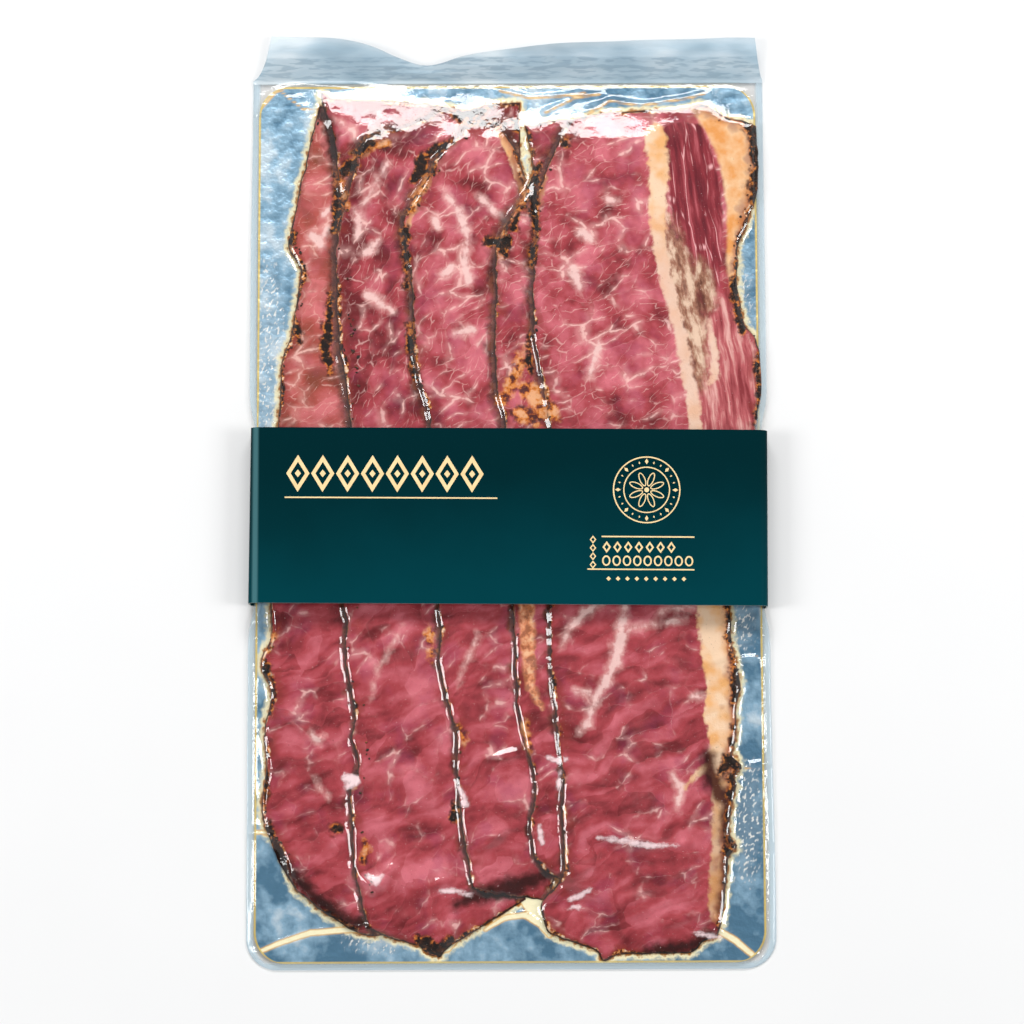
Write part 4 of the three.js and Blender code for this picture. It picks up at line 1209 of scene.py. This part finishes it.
def wobble(where, size, reach, detail=3.0):
    """Noise centred on zero, up to about reach mm either way."""
    cloud = noise(where, size, detail)
    return scaled(cloud, 4.0 * reach, -2.0 * reach)


def number(name):
    return add("Attribute", {}, output=2, attribute_name=name)


def frayed(name, torn, reach):
    """A stored distance with an uneven edge: torn is noise round zero, and reach scales it."""
    return scaled(torn, reach, number(name))


def finish(colour, roughness, relief=None, **extra):
    """Closes a material. relief is a height, its strength and its depth in metres."""
    inputs = {"Base Color": colour, "Roughness": roughness, **extra}
    if relief:
        inputs["Normal"] = add("Bump", dict(zip(("Height", "Strength", "Distance"), relief)))
    add("OutputMaterial", {"Surface": add("BsdfPrincipled", inputs)})


def dress(piece, *materials):
    """Gives a piece its materials."""
    piece.data.materials.clear()
    for material in materials:
        piece.data.materials.append(material)


# %% [markdown]
# ## Cured beef
# A slice shows the cut face of the muscle: bundles of fibre in slightly different reds, with a
# thin branching web of fat between them. Voronoi noise gives both at once. Its cells are the
# bundles, each with a random tone, and the distance to the nearest border draws the web. Noise
# bends the cells out of their straight-sided shape and thins the web, because real marbling
# fades in and out. Fat seams, crust, stains and painted shadows come from the distances stored on
# the mesh. Painted shading of folds and painted glints come from noise.

# %% Meat colours
LEAN_DARK = (112, 28, 34)
LEAN = (172, 64, 72)
LEAN_PALE = (216, 114, 126)
MARBLING = (250, 202, 194)
PLUM = (150, 60, 100)
FAT = (248, 216, 182)
PEACH = (242, 182, 116)
AMBER = (214, 128, 34)
RUST = (128, 56, 20)
BARK = (24, 12, 7)
UMBER = (62, 26, 16)
BUNDLE = 4.0
FINE_BUNDLE = 2.2
LEAN_ANGLE = {"slice_1": 0.25, "slice_2": 0.8, "slice_3": 0.95, "slice_4": 0.6, "slice_5": 0.35,
              "slice_6": 0.3}
HEAD_TONE = {"slice_3": -0.04, "slice_1": 0.06, "slice_5": 0.09}
FOOT_TONE = {"slice_3": 0.03, "slice_4": 0.04}


def stretched(where, angle, along):
    """Coordinates for a pattern that is drawn out along an angle, counted from the x axis."""
    return add("Mapping", {"Vector": where, "Rotation": (0, 0, angle), "Scale": (along, 1.0, 1.0)},
               vector_type="TEXTURE")


def border_distance(where, size):
    """Distance in mm to the nearest border between Voronoi cells about size mm across."""
    cells = add("TexVoronoi", {"Vector": where, "Scale": 1.0 / size}, feature="DISTANCE_TO_EDGE",
                voronoi_dimensions="2D")
    return times(cells, size)


def bend(where, size, reach):
    """Coordinates pushed about by noise, up to about reach mm."""
    push = noise(where, size, detail=1.5, output=1)
    push = add("VectorMath", {0: push, 1: (0.5, 0.5, 0.5)}, operation="SUBTRACT")
    push = add("VectorMath", {0: push, "Scale": 4.0 * reach}, operation="SCALE")
    return add("VectorMath", {0: where, 1: push}, operation="ADD")


def lean_with_marbling(plain, upper, angle, head_tone, foot_tone):
    """The bundles' tones and the web of fat. upper is 1 towards the pack's head, 0 at its foot."""
    bent = bend(bend(plain, 15.0, 1.8), 2.6, 0.32)
    web = stretched(bent, angle, 2.1)
    feather = stretched(bent, angle + 0.3, 3.0)

    three = add("SeparateColor", {0: noise(plain, 9.0, detail=3.0, output=1)})
    clouds, mask, plum = (three.node.outputs[k] for k in range(3))
    bundles = add("TexVoronoi", {"Vector": web, "Scale": 1.0 / BUNDLE}, output=1, feature="F1",
                  voronoi_dimensions="2D")
    bundle = add("SeparateColor", {0: bundles})
    # Long soft bands of lighter and darker tone, used at the foot: painted shading of folds.
    folds = noise(stretched(bent, 0.35, 3.0), 4.5, detail=2.0)
    calm = scaled(folds, 0.44, times(clouds, 0.35))
    calm = plus(calm, foot_tone)
    tone = mix_value(upper, calm, scaled(clouds, 0.76, head_tone))
    tone = scaled(bundle, 0.10, tone)
    tone = plus(tone, soft_step(number("rim"), 0.5, 7.0, -0.05, 0.0))
    colour = ramp(tone, [(0.30, LEAN_DARK), (0.45, LEAN), (0.64, LEAN_PALE)])
    colour = mix(soft_step(plum, 0.5, 0.72, 0.0, 0.24), colour, PLUM)

    broken = add("SeparateColor", {0: noise(plain, 2.4, detail=2.0, output=1)})
    shown = soft_step(mask, 0.43, 0.64)
    gap = border_distance(web, BUNDLE)
    thick = scaled(shown, 0.34, 0.12)
    core = calc("SUBTRACT", 1.0, calc("DIVIDE", gap, thick))
    strong = scaled(shown, 0.75, 0.14)
    core = times(soft_step(core, 0.0, 0.9), strong)
    core = times(core, soft_step(broken, 0.36, 0.52, 0.3, 1.0))
    halo = times(soft_step(gap, 0.1, 1.1, 0.3, 0.0), shown)
    fine = border_distance(feather, FINE_BUNDLE)
    fine_shown = soft_step(plum, 0.42, 0.60, 0.5, 0.0)
    fine_shown = times(fine_shown, soft_step(broken.node.outputs[1], 0.38, 0.56))
    fine = times(soft_step(fine, 0.01, 0.15, 1.0, 0.0), fine_shown)
    veins = calc("MAXIMUM", calc("MAXIMUM", core, fine), halo)
    faint = soft_step(plum, 0.48, 0.62, 0.04, 0.75)
    veins = times(veins, mix_value(upper, faint, 0.95))
    return mix(veins, colour, MARBLING)


def far_muscle(colour, plain, torn):
    """The last slice has a second, darker muscle with painted glints along its fibres, long fibres below
    it, and a cap of hard fat.
    """
    along = stretched(bend(plain, 11.0, 0.5), 1.70, 8.0)
    threads = noise(along, 1.7, detail=3.0)
    fibres = ramp(threads, [(0.32, (140, 48, 54)), (0.52, (192, 96, 100)), (0.68, (232, 174, 166))])
    inside = frayed("fibre", torn, 0.5)
    colour = mix(soft_step(inside, -0.8, 0.8), colour, fibres)
    muscle = ramp(threads, [(0.30, (104, 20, 34)), (0.54, (144, 44, 54)), (0.72, (190, 92, 100))])
    # Thin pale lines along the muscle's fibres: painted glints.
    fibre_glints = border_distance(along, 3.0)
    fibre_glints = soft_step(fibre_glints, 0.0, 0.14, 0.9, 0.0)
    fibre_glints = times(fibre_glints, soft_step(threads, 0.45, 0.58))
    muscle = mix(fibre_glints, muscle, (248, 186, 186))
    inside = frayed("muscle", torn, 0.25)
    colour = mix(soft_step(inside, -0.5, 0.5), colour, muscle)
    broad = noise(stretched(plain, 1.74, 2.2), 3.0, detail=4.0, roughness=0.6)
    stained = ramp(broad, [(0.34, (100, 60, 42)), (0.48, (168, 120, 94)), (0.62, (236, 206, 178))])
    stain_and_shadow = frayed("smear", torn, 0.9)
    colour = mix(soft_step(stain_and_shadow, -2.2, 1.4, 0.0, 0.9), colour, stained)
    clouds = noise(plain, 7.0, detail=3.0)
    cap = ramp(clouds, [(0.36, (234, 160, 88)), (0.62, (246, 206, 162))])
    inside = frayed("cap", torn, 0.25)
    return mix(soft_step(inside, -0.6, 0.6), colour, cap)


def crusted_rim(colour, plain, upper, torn):
    """A thin brown line along the rim, with ochre, scraps of fat and a stain that fades inward, and a
    brown band beside the next slice's edge: partly juice, partly painted shadow.
    """
    rim, crust = number("rim"), number("crust")
    scraps = noise(plain, 2.2, detail=4.0, roughness=0.65)
    patches = soft_step(noise(plain, 7.0, detail=2.0), 0.5, 0.66)
    width = scaled(patches, 0.9, scaled(crust, 0.9, 0.5))
    inside = calc("DIVIDE", scaled(torn, 0.35, rim), width)
    colour = paint(colour, (140, 48, 38), inside, 0.8, 3.4, 0.6)
    crumbly = ramp(scraps, [(0.42, BARK), (0.49, RUST), (0.54, AMBER), (0.62, FAT)])
    colour = paint(colour, crumbly, inside, 0.6, 1.1)
    outer = scaled(torn, 0.25, rim)
    colour = paint(colour, UMBER, outer, 0.2, 0.6)
    # On the slice below, beside the next slice's edge: a brown band, partly juice and partly painted
    # shadow, wider towards the head.
    gap_shadow_and_juice = frayed("gap", torn, 0.6)
    broad = scaled(patches, 0.9, scaled(upper, 1.0, 0.75))
    gap_shadow_and_juice = calc("DIVIDE", gap_shadow_and_juice, broad)
    brown = ramp(scraps, [(0.46, UMBER), (0.6, (112, 60, 36))])
    return paint(colour, brown, gap_shadow_and_juice, 0.2, 1.7, 0.9)


def crust_patches(colour, plain, torn):
    """Black crust with a rusty fringe, soft painted shadows and amber stains, where the strokes say."""
    scraps = noise(plain, 1.3, detail=4.0, roughness=0.65)
    # Soft brown painted shadow, multiplied over the meat.
    stain_and_shadow = frayed("stain_and_shadow", torn, 0.7)
    colour = mix(soft_step(stain_and_shadow, -1.0, 2.4, 1.0, 0.0), colour, (96, 62, 52), "MULTIPLY")
    amber = frayed("amber", torn, 1.1)
    stains = noise(plain, 3.0, detail=4.0, roughness=0.6)
    tones = ramp(stains, [(0.38, UMBER), (0.43, RUST), (0.50, (222, 132, 44)), (0.62, (238, 178, 128))])
    colour = paint(colour, tones, amber, -0.9, 1.3, 0.9)
    bark = frayed("bark", torn, 0.95)
    fringe = ramp(scraps, [(0.42, UMBER), (0.52, RUST), (0.60, AMBER)])
    colour = paint(colour, fringe, bark, 0.1, 1.2, 0.85)
    black = ramp(scraps, [(0.48, BARK), (0.66, (74, 40, 22))])
    return paint(colour, black, bark, -0.3, 0.3)


# %% Meat material
def meat_material(name, order):
    material = new_material(name)
    plain = millimetres(shift=(37.0 * order, 19.0 * order, 0.0))
    height = position(1)
    upper = soft_step(height, -0.01, 0.03)
    which = name[:7]
    head_tone, foot_tone = HEAD_TONE.get(which, 0.07), FOOT_TONE.get(which, 0.0)
    colour = lean_with_marbling(plain, upper, LEAN_ANGLE[which], head_tone, foot_tone)
    torn = wobble(plain, 2.6, 1.0, detail=4.0)
    if name == "slice_1_meat":
        colour = mix(times(upper, 0.18), colour, (208, 134, 80))
    if name == "slice_6_meat":
        colour = far_muscle(colour, plain, torn)
    vein = frayed("vein", torn, 0.8)
    colour = paint(colour, MARBLING, vein, -0.3, 1.8, 0.45)
    colour = paint(colour, (244, 204, 198), vein, -0.5, 0.4, 0.9)
    fat = frayed("fat", torn, 0.7)
    peachy = ramp(noise(plain, 6.0, detail=2.0), [(0.3, PEACH), (0.62, FAT)])
    peachy = paint(peachy, (204, 128, 62), number("rim"), 0.5, 3.6, 0.7)
    pink = soft_step(height, 0.055, 0.08, 0.65, 0.0)
    peachy = mix(times(pink, upper), peachy, (236, 200, 186))
    if name == "slice_5_meat":
        mottled = ramp(noise(plain, 2.6, detail=4.0, roughness=0.6),
                       [(0.38, (150, 72, 44)), (0.50, (222, 134, 92)), (0.64, (246, 194, 152))])
        peachy = mix(0.85, peachy, mottled)
    low = soft_step(height, -0.09, -0.06, 0.5, 0.0)
    peachy = mix(low, peachy, (170, 116, 78))
    colour = paint(colour, peachy, fat, -0.6, 0.5, 0.95)
    colour = crusted_rim(colour, plain, upper, torn)
    colour = crust_patches(colour, plain, torn)
    fine = noise(plain, 0.55, detail=3.0, roughness=0.7)
    pepper = soft_step(scaled(torn, 0.03, fine), 0.72, 0.76, 0.0, 0.9)
    colour = mix(pepper, colour, UMBER)
    # Tiny pale specks: painted glints.
    colour = paint(colour, (250, 226, 224), fine, 0.24, 0.28, 0.55)
    finish(colour, 0.5, relief=(fine, 0.35, 0.0003), **{"Specular IOR Level": 0.2})
    return material


for order, (name, piece) in enumerate(slices.items()):
    dress(piece, meat_material(name + "_meat", order))
print("meat materials:", len(slices))

# %% Crumb material
crumb = new_material("burnt_crust")
where = millimetres()
shade = ramp(noise(where, 1.4), [(0.42, (20, 11, 7)), (0.6, (96, 50, 20)), (0.75, (176, 104, 40))])
finish(shade, 0.6, relief=(noise(where, 0.3), 0.6, 0.0002))
dress(crust_crumbs, crumb)

# %% [markdown]
# ## Metallised board
# The board's face is a thin metal layer under lacquer. It is bluish silver, and the film clings to
# it in patches, with beads of air and brine between. So the metal gets soft dents from noise,
# white specks where air is trapped, which are painted highlights, a painted shade that darkens it
# towards the right and the foot and lightens its left middle, and a cream and amber line where
# juice collects round the slices.

# %% Board material
silver = new_material("metallised_board")
where = millimetres()
sideways = position(0)
lengthways = sideways.node.outputs[1]
clouds = noise(where, 16.0, detail=3.0)
crinkle = noise(where, 3.2, detail=3.0, roughness=0.5)
# Painted shade: darker towards the right and the foot, lighter at the left middle.
shade = soft_step(sideways, 0.03, 0.06, 0.0, -0.09)
left = soft_step(sideways, -0.062, -0.05, 1.0, 0.0)
shade = scaled(left, soft_step(lengthways, -0.03, 0.02, -0.03, 0.025), shade)
shade = plus(shade, soft_step(lengthways, -0.11, -0.06, -0.08, 0.0))
level = plus(scaled(crinkle, 0.35, times(clouds, 0.65)), shade)
face = ramp(level, [(0.34, (90, 134, 162)), (0.5, (158, 196, 220)), (0.62, (214, 232, 243))])
torn = wobble(where, 1.6, 0.6)
# Air beads: a paler haze and white specks, painted highlights.
bead_glints = noise(stretched(where, 1.1, 1.8), 0.75, detail=1.0)
beaded = frayed("bead_glints", torn, 3.0)
beaded = soft_step(beaded, -2.0, 2.5, 1.0, 0.0)
face = mix(times(beaded, 0.16), face, (226, 236, 242))
bead_glints = times(soft_step(bead_glints, 0.58, 0.65), beaded)
face = mix(bead_glints, face, (252, 252, 248))
juice = plus(number("juice"), torn)
face = paint(face, (255, 244, 200), juice, 0.5, 1.9)
face = paint(face, (176, 108, 30), juice, -0.1, 0.7)
cream = frayed("cream", torn, 0.1)
face = paint(face, (232, 172, 76), cream, 0.1, 0.65, 0.9)
face = paint(face, (255, 246, 206), cream, -0.1, 0.3)
gold = soft_step(number("edge"), 0.4, 0.62, 1.0, 0.0)
face = mix(gold, face, (226, 200, 122))
clean = times(soft_step(juice, 0.8, 2.0), soft_step(cream, 0.3, 0.9))
metal = times(clean, 0.35)
finish(face, 0.36, relief=(crinkle, 0.5, 0.0008), Metallic=metal)
dress(board, silver)

# %% [markdown]
# ## Clear film
# The film shows what lies below it and mirrors what is bright above it. A glass shader would bend
# and darken everything, so a transparent shader is mixed with a glossy one, more towards grazing
# angles, as on any clear skin. The header is two sealed layers, so it is hazier, with fine lines
# pressed in by the sealing bar, and it gets a material of its own. Its light and dark patches and
# its darkening towards the right are painted reflection and shade.

# %% Film material
MIRROR = 0.075


def film_skin(tint, height, strength):
    """Clear film: see-through with a tint, and a gloss that grows towards grazing angles."""
    normal = add("Bump", {"Strength": strength, "Distance": 0.0006, "Height": height})
    see_through = add("BsdfTransparent", {"Color": tint})
    gloss = add("BsdfGlossy", {"Roughness": 0.045, "Normal": normal})
    grazing = add("LayerWeight", {"Blend": 0.5, "Normal": normal}, output=1)
    share = scaled(calc("POWER", grazing, 5.0), 1.0 - MIRROR, MIRROR)
    return add("MixShader", {0: share, 1: see_through, 2: gloss})


clear = new_material("clear_film")
where = millimetres()
margin = soft_step(number("rim"), 1.2, 2.2, 1.0, 0.0)
tint = mix(margin, (252, 252, 252), (243, 248, 251))
lengthways = position(1)
lacy = times(noise(where, 2.0, detail=3.0), soft_step(lengthways, 0.09, 0.098, 0.0, 0.8))
skin = film_skin(tint, plus(noise(where, 4.0, detail=3.0), lacy), 0.16)
haze = add("BsdfDiffuse", {"Color": (222, 236, 243)})
skin = add("MixShader", {0: times(margin, 0.3), 1: skin, 2: haze})
# Painted white along the crease lines: partly whitened film, partly painted highlight.
torn = wobble(where, 1.8, 0.6, detail=4.0)
crease = frayed("crease", torn, 0.7)
crease = soft_step(crease, -0.3, 0.9, 0.8, 0.0)
white = add("BsdfDiffuse", {"Color": (254, 226, 228)})
skin = add("MixShader", {0: crease, 1: skin, 2: white})
add("OutputMaterial", {"Surface": skin})

sealed = new_material("sealed_film")
where = millimetres()
lines = noise(millimetres(squeeze=(0.16, 1.0, 1.0)), 0.9, detail=2.0)
# Light and dark patches, darker towards the right: painted reflection and shade.
patches = noise(millimetres(squeeze=(0.45, 1.0, 1.0)), 11.0, detail=2.0)
across = position(0)
lengthways = across.node.outputs[1]
fade = soft_step(across, 0.0, 0.065, 0.02, -0.05)
patches = plus(patches, fade)
header_tint_and_painted_shade = ramp(patches, [(0.34, (186, 208, 220)), (0.5, (212, 228, 237)), (0.64, (236, 244, 248))])
header_tint_and_painted_shade = mix(soft_step(number("header"), 0.8, 1.0, 0.0, 0.3), header_tint_and_painted_shade, (250, 252, 253))
band = soft_step(lengthways, 0.1092, 0.1104)
band = times(band, soft_step(lengthways, 0.1150, 0.1158, 1.0, 0.0))
press = scaled(band, 0.3, 0.05)
header_tint_and_painted_shade = mix(times(band, 0.4), header_tint_and_painted_shade, (170, 196, 210))
header_tint_and_painted_shade = mix(times(soft_step(lines, 0.46, 0.6), press), header_tint_and_painted_shade, (132, 164, 182))
height = scaled(lines, 0.12, patches)
skin = film_skin(header_tint_and_painted_shade, height, 0.2)
haze = add("BsdfDiffuse", {"Color": header_tint_and_painted_shade})
skin = add("MixShader", {0: 0.55, 1: skin, 2: haze})
add("OutputMaterial", {"Surface": skin})
dress(film, clear, sealed)
for face in film.data.polygons:
    if face.center.y / MM - SHIFT_Y > POUCH_HALF_LENGTH - 0.6:
        face.material_index = 1

# %% [markdown]
# ## Printed card
# The card is coated board with a dark teal print and a faint satin sheen. Its teal is painted
# lighter towards the pack's foot, a painted shading, and pale along the left fold, a painted
# highlight. Its cut edges show the grey-white core, so the faces of the rim get a second material.

# %% Card and ink materials
card = new_material("teal_card")
where = millimetres()
# Lighter towards the pack's foot: painted shading.
down = plus(position(1), scaled(noise(where, 40.0), 0.02, -0.01))
tone = paint((0, 37, 42), (1, 58, 66), down, -0.032, 0.01)
# A pale line along the left fold: painted highlight.
highlight_from_fold = calc("ABSOLUTE", plus(position(0), 0.0648))
tone = paint(tone, (90, 140, 146), highlight_from_fold, 0.0003, 0.0011, 0.5)
fleck = noise(where, 0.35, detail=2.0)
tone = mix(soft_step(fleck, 0.6, 0.8, 0.0, 0.15), tone, (4, 72, 76))
finish(tone, 0.45, relief=(noise(where, 0.25), 0.12, 0.0001), **{"Specular IOR Level": 0.02})

core = new_material("card_core")
where = millimetres()
tone = mix(noise(where, 0.4), (150, 165, 166), (214, 216, 208))
finish(tone, 0.8)
dress(sleeve, card, core)
for face in sleeve.data.polygons:
    if abs(face.normal.y) > 0.8:
        face.material_index = 1

ink = new_material("cream_foil")
where = millimetres()
tone = mix(noise(where, 2.5, detail=4.0), (226, 190, 132), (248, 224, 172))
finish(tone, 0.5, relief=(noise(where, 0.3), 0.1, 0.0001))
dress(sleeve_print, ink)

# %% [markdown]
# ## Floor and light
# The pack lies on white. Clear film looks like film only through what it mirrors, so the lights
# are placed for their reflections: nothing bright straight above, where the flat parts would
# mirror it as fog, one wide window behind the head, which the film's end ramp mirrors, and two
# tall narrow strips at the sides. A strip is narrow along the pack, so only the foot half, which
# the camera sees square on, mirrors it as thin lines along the slices' edges.

# %% Floor
bpy.ops.object.select_all(action="DESELECT")
bpy.ops.mesh.primitive_plane_add(size=4.0)
floor = bpy.context.object
floor.name = "floor"
paper = new_material("white_floor")
where = millimetres()
tone = mix(noise(where, 60.0), (228, 228, 228), (231, 231, 231))
add("OutputMaterial", {"Surface": add("BsdfDiffuse", {"Color": tone})})
dress(floor, paper)

# %% Lights
def softbox(name, azimuth, elevation, distance, size, strength, aim_y=0.0):
    """A rectangular light aimed at the pack. Azimuth 0 is beyond the head, 90 to the right."""
    a, e = math.radians(azimuth), math.radians(elevation)
    place = np.array([math.sin(a) * math.cos(e), math.cos(a) * math.cos(e), math.sin(e)]) * distance
    bpy.ops.object.light_add(type="AREA", location=(place[0], place[1] + aim_y, place[2]))
    light = bpy.context.object
    light.name = name
    light.rotation_euler = (math.pi / 2 - e, 0.0, math.pi - a)
    light.data.shape = "RECTANGLE"
    light.data.size, light.data.size_y = size
    light.data.energy = strength * size[0] * size[1] * math.pi


softbox("head_window", 0, 44, 1.6, (1.2, 0.46), 12.0)
for name, azimuth in (("left_strip", -90), ("right_strip", 90)):
    softbox(name, azimuth, 42, 1.4, (0.34, 0.5), 11.0, aim_y=-0.12)

SKY_SIDES = 0.52
SKY_TOP = 0.10
sky = start_tree(bpy.data.worlds.new("studio"))
bpy.context.scene.world = sky
upward = add("SeparateXYZ", {0: add("TexCoord", {})}, output=2)
fade = soft_step(upward, 0.72, 0.9, SKY_SIDES, SKY_TOP)
add("OutputWorld", {"Surface": add("Background", {"Strength": fade, "Color": (0.98, 0.99, 1.0, 1.0)})})
bpy.context.scene.view_settings.view_transform = "Standard"

# %% [markdown]
# ## Fit to the measured pack
# Every piece rides on the pack's one body. Film, board, slices and crumbs together stand for the
# solid pouch, and card and print for the solid sleeve.

# %% Bodies
for piece in [film, board, crust_crumbs, *slices.values()]:
    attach(piece, "root")
    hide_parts("pouch")
for piece in [sleeve, sleeve_print]:
    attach(piece, "root")
    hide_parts("sleeve")
